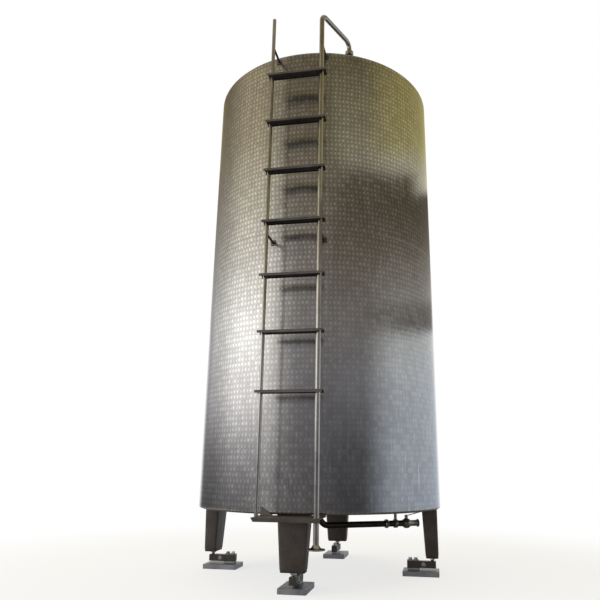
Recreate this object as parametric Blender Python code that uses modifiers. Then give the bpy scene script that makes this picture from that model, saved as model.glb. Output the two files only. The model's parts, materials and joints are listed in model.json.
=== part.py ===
"""Vertical bulk milk tank on four weigh feet, with a ladder, wash pipe, agitator and outlet valve.

Metres, +Z up. The floor is z = 0, the ladder is at the front (-Y), and the origin lies on the floor under
the middle of the whole object. Most pieces hang on the empty "tank_axis", so their places are measured from
the tank's own axis. Azimuths are degrees from the front (-Y) towards +X.
"""

from math import acos, asin, atan2, cos, degrees, pi, radians, sin, sqrt, tan

import bmesh
import bpy
from mathutils import Matrix, Vector

# ---------------------------------------------------------------- driving sizes
GAP = 0.0003              # clearance between pieces that touch
RUN_GAP = 0.0004          # clearance of a shaft or pin that turns
PAST = 0.010              # how far a cutter runs past what it cuts
INTO = 0.002              # how far a joined shape runs into the one it joins
SKIN = 0.0005             # least step between two faces that would otherwise lie in one another

SHELL_RADIUS = 0.750
SHELL_HEIGHT = 2.782
SHEET = 0.002             # outer cladding
EDGE_RADIUS = 0.012       # turned-in top and bottom edges of the cladding
EDGE_LIP = 0.016          # how far the turned-in edge reaches inwards
ROOF_SHEET = 0.003
BOTTOM_PLATE = 0.005
INSULATION = 0.055
VESSEL_WALL = 0.003
VESSEL_FALL = 0.040       # rise of the vessel's two cones
VESSEL_KNUCKLE = 0.020
JACKET = 0.003            # two welded sheets of the cooling jacket
JACKET_HEIGHT = 0.800
JACKET_LIFT = 0.070       # jacket above the vessel's lower edge

LEG_HEIGHT = 0.279
LEG_TOP_WIDTH = 0.172
LEG_FOOT_WIDTH = 0.132
LEG_TOP_DEPTH = 0.090
LEG_FOOT_DEPTH = 0.075
LEG_WALL = 0.005
LEG_SOLE = 0.012
LEG_CORNER = 0.010
LEG_CLEARANCE = 0.0006    # leg to the shell's turned-in lip
LEG_AZIMUTHS = {"front": 0, "right": 90, "rear": 180, "left": 270}

BASE_LENGTH = 0.215       # radial
BASE_WIDTH = 0.150
BASE_THICKNESS = 0.028
BASE_EDGE = 0.003         # chamfer
SPACER_THICKNESS = 0.012
SPACER_LENGTH = 0.074
BEAM_LENGTH = 0.171
BEAM_SIDE = 0.038
BEAM_EDGE = 0.0015
BEAM_PAST_SPINDLE = 0.020
BASE_PAST_BEAM = 0.018
SPINDLE_RADIUS = 0.010
SPINDLE_IN_LEG = 0.070
SPINDLE_SEAT = 0.012      # depth of the seat in the beam
SPINDLE_NECK = 0.022      # spindle seen between beam and leg
SPINDLE_HEX = 0.011
SPINDLE_HEX_RADIUS = 0.017
BOLT_RADIUS = 0.0065
BOLT_PITCH = 0.033
BOLT_EDGE = 0.019         # first bolt from the beam's end
BOLT_HEAD = 0.012
BOLT_HEAD_RADIUS = 0.0115
BOLT_IN_BASE = 0.016
STRAP = 0.006             # clamp plate under the bolt heads
STRAP_INSET = 0.002
STRAP_EDGE = 0.001

STILE_RADIUS = 0.01065
WASH_RADIUS = 0.0145
WASH_WALL = 0.0015
STILE_SPACING = 0.305
LADDER_STANDOFF = 0.1275  # shell surface to the stiles' centres
LADDER_ABOVE_SHELL = 0.169
TREAD_LENGTH = 0.358
TREAD_DEPTH = 0.060
TREAD_LIP = 0.015
TREAD_SHEET = 0.002
TREAD_COUNT = 7
TREAD_FIRST = 0.624       # above the shell's lower edge
TREAD_LAST = 0.240        # below the shell's top
STANDOFF_LOWER = 1.5045   # above the shell's lower edge
STANDOFF_UPPER = 0.037    # below the shell's top
STANDOFF_RADIUS = 0.006
STANDOFF_PAD = 0.036
STANDOFF_PAD_THICKNESS = 0.004
BRACKET_DROP = 0.004      # top of the foot bracket below the shell's lower edge
BRACKET_WIDTH = 0.350
BRACKET_SHEET = 0.004
BRACKET_LIP = 0.020
BRACKET_PAST_STILE = 0.024
GUSSET_WIDTH = 0.072
GUSSET_RISE = 0.040
GUSSET_SHEET = 0.003
WASH_BELOW_SHELL = 0.1485
WASH_FLANGE_RADIUS = 0.046
WASH_FLANGE = 0.006
WASH_FLARE = 0.018

NOZZLE_AZIMUTH = 25.5
NOZZLE_INSET = 0.100
WASH_BEND = 0.045
WASH_RUN_HEIGHT = 0.165   # wash pipe's top run above the shell's top
UNION_HEIGHT = 0.088      # union joint above the shell's top
UNION_RIM = 0.0065        # threaded collar beyond the pipe
UNION_WALL = 0.006
UNION_LENGTH = 0.026
UNION_COLLAR = 0.005
UNION_COLLAR_RIM = 0.004
NUT_LOW = 0.003           # nut's ends past the threaded collar
NUT_HIGH = 0.006
NOZZLE_FOOT = 0.004
NOZZLE_FOOT_RIM = 0.010
SPRAY_INSET = 0.342       # insets run from the shell's surface to a piece's centre
SPRAY_AZIMUTH = 79
SPRAY_BALL_RADIUS = 0.0325
SPRAY_BALL_WALL = 0.002
SPRAY_DEPTH = 0.275       # centre of the ball below the shell's top
SPRAY_RUN_DEPTH = 0.160
SPRAY_SOCKET = 0.003
SPRAY_SOCKET_RISE = 0.020

MANHOLE_RADIUS = 0.200
MANHOLE_WALL = 0.003
MANHOLE_INSET = 0.360
MANHOLE_RISE = 0.055
MANHOLE_IN_VESSEL = 0.012
MANHOLE_LIP = 0.010
GASKET = 0.005
LID_SHEET = 0.002
LID_RIM = 0.014
LID_RIM_CLEARANCE = 0.0025
LID_CROWN = 0.008
LID_SHOULDER = (0.55, 0.90)    # bends of the crown, as shares of its rim
LID_SHOULDER_RISE = 0.85       # of the crown's height
HINGE_PIN_RADIUS = 0.005
HINGE_KNUCKLE = 0.010
HINGE_OFFSET = 0.020      # pin beyond the lid's rim
HINGE_EAR = 0.005
HINGE_LEAF = 0.026
HINGE_SIDE = 0.002        # play between the leaf and each ear, besides the gap
EAR_ROOT = 0.026          # height of an ear where it meets the neck
GRIP_WIDTH = 0.120
GRIP_RISE = 0.042
GRIP_RADIUS = 0.006
GRIP_BEND = 0.018
GRIP_FORWARD = 0.110

AGITATOR_BEHIND_MANHOLE = 0.540   # between their centres
PORT_RADIUS = 0.040
PORT_WALL = 0.003
MOUNT_RADIUS = 0.080
MOUNT_THICKNESS = 0.008
PORT_RISE = 0.040
GEARBOX_SIZE = (0.110, 0.120, 0.105)
GEARBOX_EDGE = 0.008
MOTOR_RADIUS = 0.055
MOTOR_LENGTH = 0.190
MOTOR_LIFT = 0.004        # motor's centre above the gearbox's
SHAFT_RADIUS = 0.0125
SHAFT_CLEARANCE = 0.452   # shaft's lower end above the vessel's lower edge
SHAFT_COVER = 0.002       # gearbox top above the shaft's end
HUB_RADIUS = 0.026
HUB_HEIGHT = 0.060
BLADE_SPAN = 0.400
BLADE_WIDTH = 0.070
BLADE_SHEET = 0.006
BLADE_PITCH = 40
HUB_LIFT = 0.004          # hub above the shaft's lower end

VENT_INSET = 0.2815
VENT_AZIMUTH = 140
VENT_RADIUS = 0.038
VENT_WALL = 0.0025
VENT_RISE = 0.090
VENT_CAP_RADIUS = 0.062
VENT_CAP_SHEET = 0.002
VENT_CAP_SKIRT = 0.012    # cap's edge below the neck's mouth
VENT_CAP_RISE = (0.006, 0.024, 0.030)   # cap's shoulder, bend and crown above the mouth
VENT_RIB_DEPTH = 0.014
VENT_RIB = 0.004

OUTLET_RADIUS = 0.019
OUTLET_WALL = 0.0015
OUTLET_AZIMUTH = 120
OUTLET_DROP = 0.116       # pipe's centre below the shell's lower edge
OUTLET_BEND = 0.057
COUPLING_AT = 0.460
COUPLING_LENGTH = 0.020
COUPLING_RADIUS = 0.027
COUPLING_EDGE = 0.003
HANGER_AT = 0.525
HANGER_WIDTH = 0.020
HANGER_SHEET = 0.004
HANGER_BAND = 0.027       # outer radius of the band around the pipe
HANGER_PAD = (0.045, 0.040)
VALVE_AT = 0.605
VALVE_LENGTH = 0.050
VALVE_RADIUS = 0.031
VALVE_BOSS_RADIUS = 0.011
VALVE_BOSS_TOP = 0.042    # above the pipe's centre
VALVE_SHOULDER = 0.014    # length of the body's tapered ends
VALVE_NECK = 0.004        # what the tapered ends stand out of the pipe
STEM_RADIUS = 0.005
DISC_THICKNESS = 0.004
DISC_CLEARANCE = 0.0005
STEM_ABOVE_BOSS = 0.012
LEVER_HUB_RADIUS = 0.013
LEVER_START = 0.007       # arm's middle line from the stem
LEVER_LIFT = 0.0055
LEVER_LENGTH = 0.135
LEVER_WIDTH = 0.018
LEVER_THICKNESS = 0.005
LEVER_RISE = 0.030
TAIL_LENGTH = 0.060       # pipe end beyond the valve
FERRULE_RADIUS = 0.02525
FERRULE = 0.003

ROUND = 44                # sides of the tank's large rounds
SMALL_ROUND = 24
TUBE_SIDES = 16

# ---------------------------------------------------------------- places worked out from them
def clear_of(radius, sides=TUBE_SIDES):
    """Radius of a many-sided hole whose flats clear a bar of this radius, however the bar's sides lie."""
    return (radius + GAP) / cos(pi / sides)


def polar(inset, azimuth):
    """The place at this inset from the shell's surface, towards this azimuth."""
    return (SHELL_RADIUS - inset) * sin(radians(azimuth)), -(SHELL_RADIUS - inset) * cos(radians(azimuth))


FOOT_STACK = BASE_THICKNESS + SPACER_THICKNESS + BEAM_SIDE + SPINDLE_NECK
SHELL_BASE = FOOT_STACK + LEG_HEIGHT
SHELL_TOP = SHELL_BASE + SHELL_HEIGHT
LADDER_Y = -(SHELL_RADIUS + LADDER_STANDOFF)
UNION_RADIUS = WASH_RADIUS + UNION_RIM + UNION_WALL
LADDER_TOP = SHELL_TOP + LADDER_ABOVE_SHELL
LADDER_REACH = max(TREAD_DEPTH / 2, BRACKET_PAST_STILE, WASH_FLANGE_RADIUS)
AXIS_Y = (LADDER_REACH - LADDER_Y - SHELL_RADIUS) / 2
VESSEL_RADIUS = SHELL_RADIUS - SHEET - INSULATION
INSULATION_BASE = SHELL_BASE + SHEET + BOTTOM_PLATE + 2 * GAP
INSULATION_TOP = SHELL_TOP - SHEET - GAP
VESSEL_BASE = INSULATION_BASE + INSULATION
VESSEL_TOP = INSULATION_TOP - INSULATION
ROOF_TOP = SHELL_TOP + GAP + ROOF_SHEET
LIP_FLAT = (SHELL_RADIUS - EDGE_LIP) * cos(pi / ROUND)   # the turned-in lip at the middle of a facet
LEG_FLAT = LEG_TOP_WIDTH / 2 - LEG_CORNER                # half of the leg's flat face
LEG_FACE = min(
    (LIP_FLAT - LEG_CLEARANCE - LEG_FLAT * sin(turn)) / cos(turn)
    for turn in [(2 * facet + 1) * pi / ROUND for facet in range(ROUND // 8)]
)
LEG_TOP = SHELL_BASE + SHEET
LEG_BASE = FOOT_STACK
SPINDLE_AT = LEG_FACE - LEG_FOOT_DEPTH / 2
BEAM_BASE = BASE_THICKNESS + SPACER_THICKNESS + GAP
BEAM_TOP = BEAM_BASE + BEAM_SIDE
TREAD_PITCH = (SHELL_HEIGHT - TREAD_FIRST - TREAD_LAST) / (TREAD_COUNT - 1)
TREAD_HEIGHTS = [SHELL_BASE + TREAD_FIRST + i * TREAD_PITCH for i in range(TREAD_COUNT)]
STANDOFF_HEIGHTS = {"lower": SHELL_BASE + STANDOFF_LOWER, "upper": SHELL_TOP - STANDOFF_UPPER}
MANHOLE_PLACE = (0, MANHOLE_INSET - SHELL_RADIUS)
AGITATOR_PLACE = (0, MANHOLE_PLACE[1] + AGITATOR_BEHIND_MANHOLE)
VENT_PLACE = polar(VENT_INSET, VENT_AZIMUTH)
SPRAY_PLACE = polar(SPRAY_INSET, SPRAY_AZIMUTH)
NOZZLE_PLACE = polar(NOZZLE_INSET, NOZZLE_AZIMUTH)
NECK_BASE = VESSEL_TOP - VESSEL_FALL - MANHOLE_IN_VESSEL
BRACKET_TOP = SHELL_BASE - BRACKET_DROP
OUTLET_Z = SHELL_BASE - OUTLET_DROP


# ---------------------------------------------------------------- scene and materials
for old in list(bpy.data.objects):
    bpy.data.objects.remove(old)
PARTS = bpy.data.collections.new("bulk_milk_tank")
CUTTERS = bpy.data.collections.new("cutters")
for collection in (PARTS, CUTTERS):
    bpy.context.scene.collection.children.link(collection)


def principled(name, colour, roughness, metallic):
    material = bpy.data.materials.new(name)
    material.use_nodes = True
    shader = material.node_tree.nodes["Principled BSDF"]
    shader.inputs["Base Color"].default_value = (*colour, 1)
    shader.inputs["Roughness"].default_value = roughness
    shader.inputs["Metallic"].default_value = metallic
    return material


SPOTTED = principled("spotted stainless cladding", (0.42, 0.41, 0.39), 0.38, 1.0)
SATIN = principled("satin stainless", (0.46, 0.45, 0.43), 0.32, 1.0)
TUBE = principled("polished stainless tube", (0.50, 0.48, 0.44), 0.22, 1.0)
LEG_STEEL = principled("folded stainless", (0.24, 0.23, 0.22), 0.45, 1.0)
CELL = principled("nickel-plated load cell", (0.20, 0.19, 0.18), 0.40, 1.0)
FASTENER = principled("zinc-plated fastener", (0.55, 0.55, 0.54), 0.30, 1.0)
FOAM = principled("insulating foam", (0.72, 0.60, 0.34), 0.90, 0.0)
RUBBER = principled("food-grade rubber", (0.05, 0.05, 0.055), 0.70, 0.0)
CASTING = principled("painted gearbox casting", (0.10, 0.20, 0.32), 0.45, 0.0)


# ---------------------------------------------------------------- helpers
def empty(name, location, turn=0.0, parent=None):
    """An axis or a local frame: pieces placed under it are measured from it."""
    pivot = bpy.data.objects.new(name, None)
    PARTS.objects.link(pivot)
    pivot.location = location
    pivot.rotation_euler.z = turn
    pivot.parent = parent
    return pivot


def add(name, data, material, parent, location=(0, 0, 0)):
    """A new object. Without a material it is a cutter or a shape to be joined, and is left out of renders."""
    piece = bpy.data.objects.new(name, data)
    piece.location = location
    piece.parent = parent
    if material:
        PARTS.objects.link(piece)
        data.materials.append(material)
    else:
        CUTTERS.objects.link(piece)
        piece.hide_render = True
        piece.display_type = "WIRE"
    return piece


def mesh_from(name, shape):
    mesh = bpy.data.meshes.new(name)
    shape.to_mesh(mesh)
    shape.free()
    return mesh


def box(name, size, centre, material, parent, bevel=0.0):
    shape = bmesh.new()
    bmesh.ops.create_cube(shape, size=1, matrix=Matrix.Translation(centre) @ Matrix.Diagonal((*size, 1)))
    piece = add(name, mesh_from(name, shape), material, parent)
    if bevel:
        edge = piece.modifiers.new("edges", "BEVEL")
        edge.width = bevel
    return piece


def cylinder(name, radius, low, high, material, parent, centre=(0, 0), sides=SMALL_ROUND, top_radius=None):
    """An upright cylinder or cone from z = low to z = high."""
    shape = bmesh.new()
    bmesh.ops.create_cone(
        shape, cap_ends=True, segments=sides, radius1=radius,
        radius2=radius if top_radius is None else top_radius, depth=high - low,
    )
    mesh = mesh_from(name, shape)
    return add(name, mesh, material, parent, (*centre, (low + high) / 2))


def lying(piece, azimuth_axis, at):
    """Lays an upright cylinder along +X or +Y of its frame, with its middle at the point given."""
    piece.rotation_euler = (0, pi / 2, 0) if azimuth_axis == "X" else (pi / 2, 0, 0)
    piece.location = at
    return piece


def turned(name, profile, material, parent, centre=(0, 0), steps=ROUND, closed=True):
    """A profile of (radius, height) points turned about the vertical. It runs down its outer side."""
    mesh = bpy.data.meshes.new(name)
    edges = [(i, i + 1) for i in range(len(profile) - 1)]
    if closed:
        edges.append((len(profile) - 1, 0))
    mesh.from_pydata([(r, 0, z) for r, z in profile], edges, [])
    piece = add(name, mesh, material, parent, (*centre, 0))
    screw = piece.modifiers.new("turn", "SCREW")
    screw.steps = screw.render_steps = steps
    screw.use_merge_vertices = True
    screw.merge_threshold = 0.0001
    return piece


def arc(centre, radius, start, end, count=3):
    """Points on an arc of a profile, angles in degrees from +radius towards +height."""
    angles = [radians(start + (end - start) * i / (count - 1)) for i in range(count)]
    return [(centre[0] + radius * cos(a), centre[1] + radius * sin(a)) for a in angles]


def rounded_path(points, radius, count=5):
    """The path through these points with each inner corner replaced by an arc of this radius."""
    points = [Vector(p) for p in points]
    path = [points[0]]
    for before, corner, after in zip(points, points[1:], points[2:]):
        back, ahead = (before - corner).normalized(), (after - corner).normalized()
        half = back.angle(ahead) / 2
        middle = corner + (back + ahead).normalized() * (radius / sin(half))
        start = corner + back * (radius / tan(half))
        normal = back.cross(ahead).normalized()
        sweep = pi - 2 * half
        for i in range(count):
            spin = Matrix.Rotation(-sweep * i / (count - 1), 3, normal)
            path.append(middle + spin @ (start - middle))
    return path + [points[-1]]


def curve(name, path, radius, material, parent, wall=0.0, sides=TUBE_SIDES):
    """A round bar along a path, or a tube if it has a wall."""
    data = bpy.data.curves.new(name, "CURVE")
    data.dimensions = "3D"
    data.bevel_depth = radius
    data.bevel_resolution = sides // 4 - 1
    data.use_fill_caps = not wall
    spline = data.splines.new("POLY")
    spline.points.add(len(path) - 1)
    for point, place in zip(spline.points, path):
        point.co = (*place, 1)
    piece = add(name, data, material, parent)
    if wall:
        thick = piece.modifiers.new("wall", "SOLIDIFY")
        thick.thickness = wall
        thick.offset = -1
    return as_mesh(piece)


def outline(name, points, thickness, material, parent, location=(0, 0, 0), rotation=(0, 0, 0)):
    """A flat plate of this outline, made as a filled 2D curve."""
    data = bpy.data.curves.new(name, "CURVE")
    data.dimensions = "2D"
    data.fill_mode = "BOTH"
    data.extrude = thickness / 2
    spline = data.splines.new("POLY")
    spline.points.add(len(points) - 1)
    for point, (x, y) in zip(spline.points, points):
        point.co = (x, y, 0, 1)
    spline.use_cyclic_u = True
    piece = add(name, data, material, parent, location)
    piece.rotation_euler = rotation
    return as_mesh(piece)


def as_mesh(piece):
    """The same piece as a mesh with its caps welded, because a Boolean takes no curve."""
    name, data, parent = piece.name, piece.data, piece.parent
    bpy.context.view_layer.update()
    graph = bpy.context.evaluated_depsgraph_get()
    mesh = bpy.data.meshes.new_from_object(piece.evaluated_get(graph))
    shape = bmesh.new()
    shape.from_mesh(mesh)
    bmesh.ops.remove_doubles(shape, verts=shape.verts, dist=0.00002)
    bmesh.ops.recalc_face_normals(shape, faces=shape.faces)
    shape.to_mesh(mesh)
    shape.free()
    material = data.materials[0] if data.materials else None
    mesh.materials.clear()
    matrix = piece.matrix_basis.copy()
    bpy.data.objects.remove(piece)
    bpy.data.curves.remove(data)
    made = add(name, mesh, material, parent)
    made.matrix_basis = matrix
    return made


def boolean(piece, other, operation):
    change = piece.modifiers.new(f"{operation.lower()} {other.name}", "BOOLEAN")
    change.operation = operation
    change.solver = "EXACT"
    change.object = other
    other.display_type = "WIRE"
    return piece


def cut(piece, *cutters):
    for cutter in cutters:
        boolean(piece, cutter, "DIFFERENCE")
    return piece


def join(piece, *others):
    for other in others:
        boolean(piece, other, "UNION")
    return piece


# ---------------------------------------------------------------- tank body
def vessel_line(offset, steps_out=()):
    """Half outline of the inner vessel, top to bottom, grown outwards by an offset.

    steps_out holds (low, high, extra): a stretch of the wall that stands out by extra.
    """
    slope = atan2(VESSEL_FALL, VESSEL_RADIUS)
    rise = offset / cos(slope)
    radius = VESSEL_RADIUS + offset
    knuckle = VESSEL_KNUCKLE + offset
    inset = VESSEL_RADIUS - VESSEL_KNUCKLE
    drop = VESSEL_KNUCKLE / cos(slope) + inset * tan(slope)
    top_centre = (inset, VESSEL_TOP - drop)
    low_centre = (inset, VESSEL_BASE + drop)
    line = [(0, VESSEL_TOP + rise)]
    line += arc(top_centre, knuckle, 90 - slope * 180 / pi, 0)
    for low, high, extra in steps_out:
        line += [(radius, high), (radius + extra, high), (radius + extra, low), (radius, low)]
    line += arc(low_centre, knuckle, 0, -90 + slope * 180 / pi)
    line.append((0, VESSEL_BASE - rise))
    return line


def with_bore(line, bore):
    """The same line, but ending at the edge of a central hole instead of on the axis."""
    (r1, z1), (r2, z2) = line[-2], line[-1]
    share = (r1 - bore) / (r1 - r2)
    return line[:-1] + [(bore, z1 + (z2 - z1) * share)]


def make_body(axis):
    outer, inner = EDGE_RADIUS, EDGE_RADIUS - SHEET
    low, high = SHELL_BASE + EDGE_RADIUS, SHELL_TOP - EDGE_RADIUS
    bend, lip = SHELL_RADIUS - EDGE_RADIUS, SHELL_RADIUS - EDGE_LIP
    profile = [(lip, SHELL_TOP)] + arc((bend, high), outer, 90, 0, 4) + arc((bend, low), outer, 0, -90, 4)
    profile += [(lip, SHELL_BASE), (lip, SHELL_BASE + SHEET)]
    profile += arc((bend, low), inner, -90, 0) + arc((bend, high), inner, 0, 90)
    profile += [(lip, SHELL_TOP - SHEET)]
    turned("outer_shell", profile, SPOTTED, axis)

    outlet_hole = OUTLET_RADIUS + GAP
    plate_low = SHELL_BASE + SHEET + GAP
    plate_edge = SHELL_RADIUS - EDGE_RADIUS - GAP
    plate_high = plate_low + BOTTOM_PLATE
    ring = [
        (plate_edge, plate_high), (plate_edge, plate_low), (outlet_hole, plate_low), (outlet_hole, plate_high),
    ]
    turned("bottom_plate", ring, SATIN, axis)
    roof_low = SHELL_TOP + GAP
    rim = ROOF_SHEET / 3
    disc = [(0, ROOF_TOP), (bend - rim, ROOF_TOP), (bend, ROOF_TOP - rim), (bend, roof_low), (0, roof_low)]
    roof = turned("roof", disc, SATIN, axis, closed=False)

    outside = with_bore(vessel_line(0), outlet_hole)
    inside = with_bore(vessel_line(-VESSEL_WALL), outlet_hole)
    vessel = turned("inner_vessel", outside + inside[::-1], SATIN, axis, closed=False)

    jacket_low = VESSEL_BASE + VESSEL_FALL + JACKET_LIFT
    jacket_high = jacket_low + JACKET_HEIGHT
    near, far = VESSEL_RADIUS + GAP, VESSEL_RADIUS + GAP + JACKET
    sleeve = [(far, jacket_high), (far, jacket_low), (near, jacket_low), (near, jacket_high)]
    turned("cooling_jacket", sleeve, SATIN, axis)

    side = SHELL_RADIUS - SHEET - GAP
    shoulder = side + SHEET + GAP - EDGE_RADIUS
    foam_out = [(0, INSULATION_TOP), (shoulder, INSULATION_TOP), (side, INSULATION_TOP - EDGE_RADIUS)]
    foam_out += [(side, INSULATION_BASE + EDGE_RADIUS), (shoulder, INSULATION_BASE)]
    foam_out.append((outlet_hole, INSULATION_BASE))
    recess = [(jacket_low - GAP, jacket_high + GAP, JACKET + GAP)]
    foam_in = with_bore(vessel_line(GAP, recess), outlet_hole)
    foam = turned("insulation", foam_out + foam_in[::-1], FOAM, axis, closed=False)
    return roof, vessel, foam


def port(name, radius, centre, pieces, axis, sides=SMALL_ROUND):
    """Cuts the hole of a neck through the roof, the insulation and the vessel's top."""
    low, high = VESSEL_TOP - 2 * VESSEL_FALL, ROOF_TOP + PAST
    cutter = cylinder(f"{name}_port", radius + GAP, low, high, None, axis, centre, sides)
    for piece in pieces:
        cut(piece, cutter)


def neck(radius, wall, low, high):
    return [(radius, high), (radius, low), (radius - wall, low), (radius - wall, high)]


# ---------------------------------------------------------------- legs and weigh feet
def tapered(name, top, foot, low, high, inset, corner, material, parent):
    """A four-sided leg in its radial frame (+X outwards): its outer face is upright at x = LEG_FACE.

    Its four upright edges are folded round by the corner's radius.
    """
    shape = bmesh.new()
    bmesh.ops.create_cube(shape, size=1)
    for vertex in shape.verts:
        depth, width = top if vertex.co.z > 0 else foot
        face = LEG_FACE - inset
        vertex.co.x = face if vertex.co.x > 0 else face - depth
        vertex.co.y = width / 2 if vertex.co.y > 0 else -width / 2
        vertex.co.z = high if vertex.co.z > 0 else low
    upright = [edge for edge in shape.edges if abs(edge.verts[0].co.z - edge.verts[1].co.z) > LEG_SOLE]
    bmesh.ops.bevel(shape, geom=upright, offset=corner, segments=2, profile=0.5, affect="EDGES")
    return add(name, mesh_from(name, shape), material, parent)


def make_leg(side, frame):
    leg = tapered(
        f"leg_{side}", (LEG_TOP_DEPTH, LEG_TOP_WIDTH), (LEG_FOOT_DEPTH, LEG_FOOT_WIDTH),
        LEG_BASE, LEG_TOP, 0, LEG_CORNER, LEG_STEEL, frame,
    )
    slim = 2 * LEG_WALL
    hollow = tapered(
        f"leg_{side}_hollow", (LEG_TOP_DEPTH - slim, LEG_TOP_WIDTH - slim),
        (LEG_FOOT_DEPTH - slim, LEG_FOOT_WIDTH - slim), LEG_BASE + LEG_SOLE, LEG_TOP + PAST, LEG_WALL,
        LEG_CORNER - LEG_WALL, None, frame,
    )
    bore = cylinder(
        f"leg_{side}_bore", SPINDLE_RADIUS + RUN_GAP, LEG_BASE - PAST, LEG_BASE + LEG_SOLE + PAST, None,
        frame, (SPINDLE_AT, 0), TUBE_SIDES,
    )
    cut(leg, hollow, bore)


def make_foot(side, frame):
    """The weigh foot: base plate, load-cell beam clamped at its inner end, spindle on its outer end."""
    beam_out = SPINDLE_AT + BEAM_PAST_SPINDLE
    beam_in = beam_out - BEAM_LENGTH
    base_out = beam_out + BASE_PAST_BEAM
    base_mid = base_out - BASE_LENGTH / 2
    base = box(
        f"base_plate_{side}", (BASE_LENGTH, BASE_WIDTH, BASE_THICKNESS), (base_mid, 0, BASE_THICKNESS / 2),
        LEG_STEEL, frame, bevel=BASE_EDGE,
    )
    spacer = box(
        f"spacer_{side}", (SPACER_LENGTH, BEAM_SIDE, SPACER_THICKNESS + INTO),
        (beam_in + SPACER_LENGTH / 2, 0, BASE_THICKNESS + (SPACER_THICKNESS - INTO) / 2), None, frame,
    )
    join(base, spacer)
    beam = box(
        f"load_cell_{side}", (BEAM_LENGTH, BEAM_SIDE, BEAM_SIDE),
        (beam_out - BEAM_LENGTH / 2, 0, (BEAM_BASE + BEAM_TOP) / 2), CELL, frame, bevel=BEAM_EDGE,
    )
    bolt_low = BASE_THICKNESS + SPACER_THICKNESS - BOLT_IN_BASE
    bolt_places = [(beam_in + BOLT_EDGE + i * BOLT_PITCH, 0) for i in range(2)]
    strap_low = BEAM_TOP + GAP
    strap_high = strap_low + STRAP
    clamp = box(
        f"clamp_bolts_{side}", (BOLT_PITCH + 2 * BOLT_EDGE, BEAM_SIDE - 2 * STRAP_INSET, STRAP),
        (beam_in + BOLT_EDGE + BOLT_PITCH / 2, 0, (strap_low + strap_high) / 2), FASTENER, frame,
        bevel=STRAP_EDGE,
    )
    for number, place in enumerate(bolt_places):
        hole = cylinder(
            f"bolt_hole_{side}_{number}", BOLT_RADIUS + GAP, bolt_low - GAP, BEAM_TOP + PAST, None, frame,
            place, TUBE_SIDES,
        )
        cut(base, hole)
        cut(beam, hole)
        shank = cylinder(
            f"bolt_shank_{side}_{number}", BOLT_RADIUS, bolt_low, strap_high - STRAP / 6, None, frame, place,
            TUBE_SIDES,
        )
        head = cylinder(
            f"bolt_head_{side}_{number}", BOLT_HEAD_RADIUS, strap_high - STRAP / 12, strap_high + BOLT_HEAD,
            None, frame, place, 6,
        )
        join(clamp, shank, head)
    seat_low = BEAM_TOP - SPINDLE_SEAT
    cut(beam, cylinder(
        f"spindle_seat_{side}", SPINDLE_RADIUS + GAP, seat_low, BEAM_TOP + PAST, None, frame,
        (SPINDLE_AT, 0), TUBE_SIDES,
    ))
    spindle = cylinder(
        f"spindle_{side}", SPINDLE_RADIUS, seat_low + GAP, LEG_BASE + SPINDLE_IN_LEG, FASTENER, frame,
        (SPINDLE_AT, 0), TUBE_SIDES,
    )
    join(spindle, cylinder(
        f"spindle_hex_{side}", SPINDLE_HEX_RADIUS, LEG_BASE - GAP - SPINDLE_HEX, LEG_BASE - GAP, None, frame,
        (SPINDLE_AT, 0), 6,
    ))


# ---------------------------------------------------------------- ladder and wash pipe
def shell_cutter(axis):
    """The shell's outer surface grown by the gap, to fit pads and flanges to it."""
    return turned(
        "shell_clearance",
        [(0, SHELL_TOP + PAST), (SHELL_RADIUS + GAP, SHELL_TOP + PAST), (SHELL_RADIUS + GAP, SHELL_BASE),
         (0, SHELL_BASE)],
        None, axis, closed=False,
    )


def make_ladder(axis):
    left, right = -STILE_SPACING / 2, STILE_SPACING / 2
    cylinder(
        "left_stile", STILE_RADIUS, BRACKET_TOP + GAP, LADDER_TOP, TUBE, axis, (left, LADDER_Y), TUBE_SIDES,
    )
    stile_hole = cylinder(
        "left_stile_clearance", STILE_RADIUS + GAP, BRACKET_TOP + BRACKET_LIP, LADDER_TOP + PAST, None, axis,
        (left, LADDER_Y), TUBE_SIDES,
    )
    wash_hole = cylinder(
        "wash_pipe_clearance", clear_of(WASH_RADIUS), BRACKET_TOP - BRACKET_LIP, LADDER_TOP, None, axis,
        (right, LADDER_Y), TUBE_SIDES,
    )
    for number, height in enumerate(TREAD_HEIGHTS, start=1):
        tread = box(
            f"tread_{number}", (TREAD_LENGTH, TREAD_DEPTH, TREAD_LIP), (0, LADDER_Y, height - TREAD_LIP / 2),
            SATIN, axis,
        )
        under = box(
            f"tread_{number}_under", (TREAD_LENGTH + PAST, TREAD_DEPTH - 2 * TREAD_SHEET, TREAD_LIP),
            (0, LADDER_Y, height - TREAD_LIP / 2 - TREAD_SHEET), None, axis,
        )
        cut(tread, under, stile_hole, wash_hole)

    around_shell = shell_cutter(axis)
    for level, height in STANDOFF_HEIGHTS.items():
        for side, x, radius in (("left", left, STILE_RADIUS), ("right", right, WASH_RADIUS)):
            make_standoff(f"standoff_{level}_{side}", x, radius, height, around_shell, axis)
    make_foot_bracket(axis, wash_hole)


def make_standoff(name, x, stile_radius, height, around_shell, axis):
    """A short round bar from the stile's back to a pad on the shell."""
    start = LADDER_Y + stile_radius + GAP
    end = -sqrt(SHELL_RADIUS ** 2 - x ** 2)
    bar = cylinder(name, STANDOFF_RADIUS, 0, end - start + PAST, SATIN, axis, (0, 0), TUBE_SIDES)
    lying(bar, "Y", (x, (start + end + PAST) / 2, height))
    pad_depth = STANDOFF_PAD_THICKNESS + abs(x) / SHELL_RADIUS * STANDOFF_PAD
    pad = box(
        f"{name}_pad", (STANDOFF_PAD, pad_depth + PAST, STANDOFF_PAD),
        (x, end + (PAST - pad_depth) / 2, height), None, axis,
    )
    join(bar, pad)
    cut(bar, around_shell)


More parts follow.
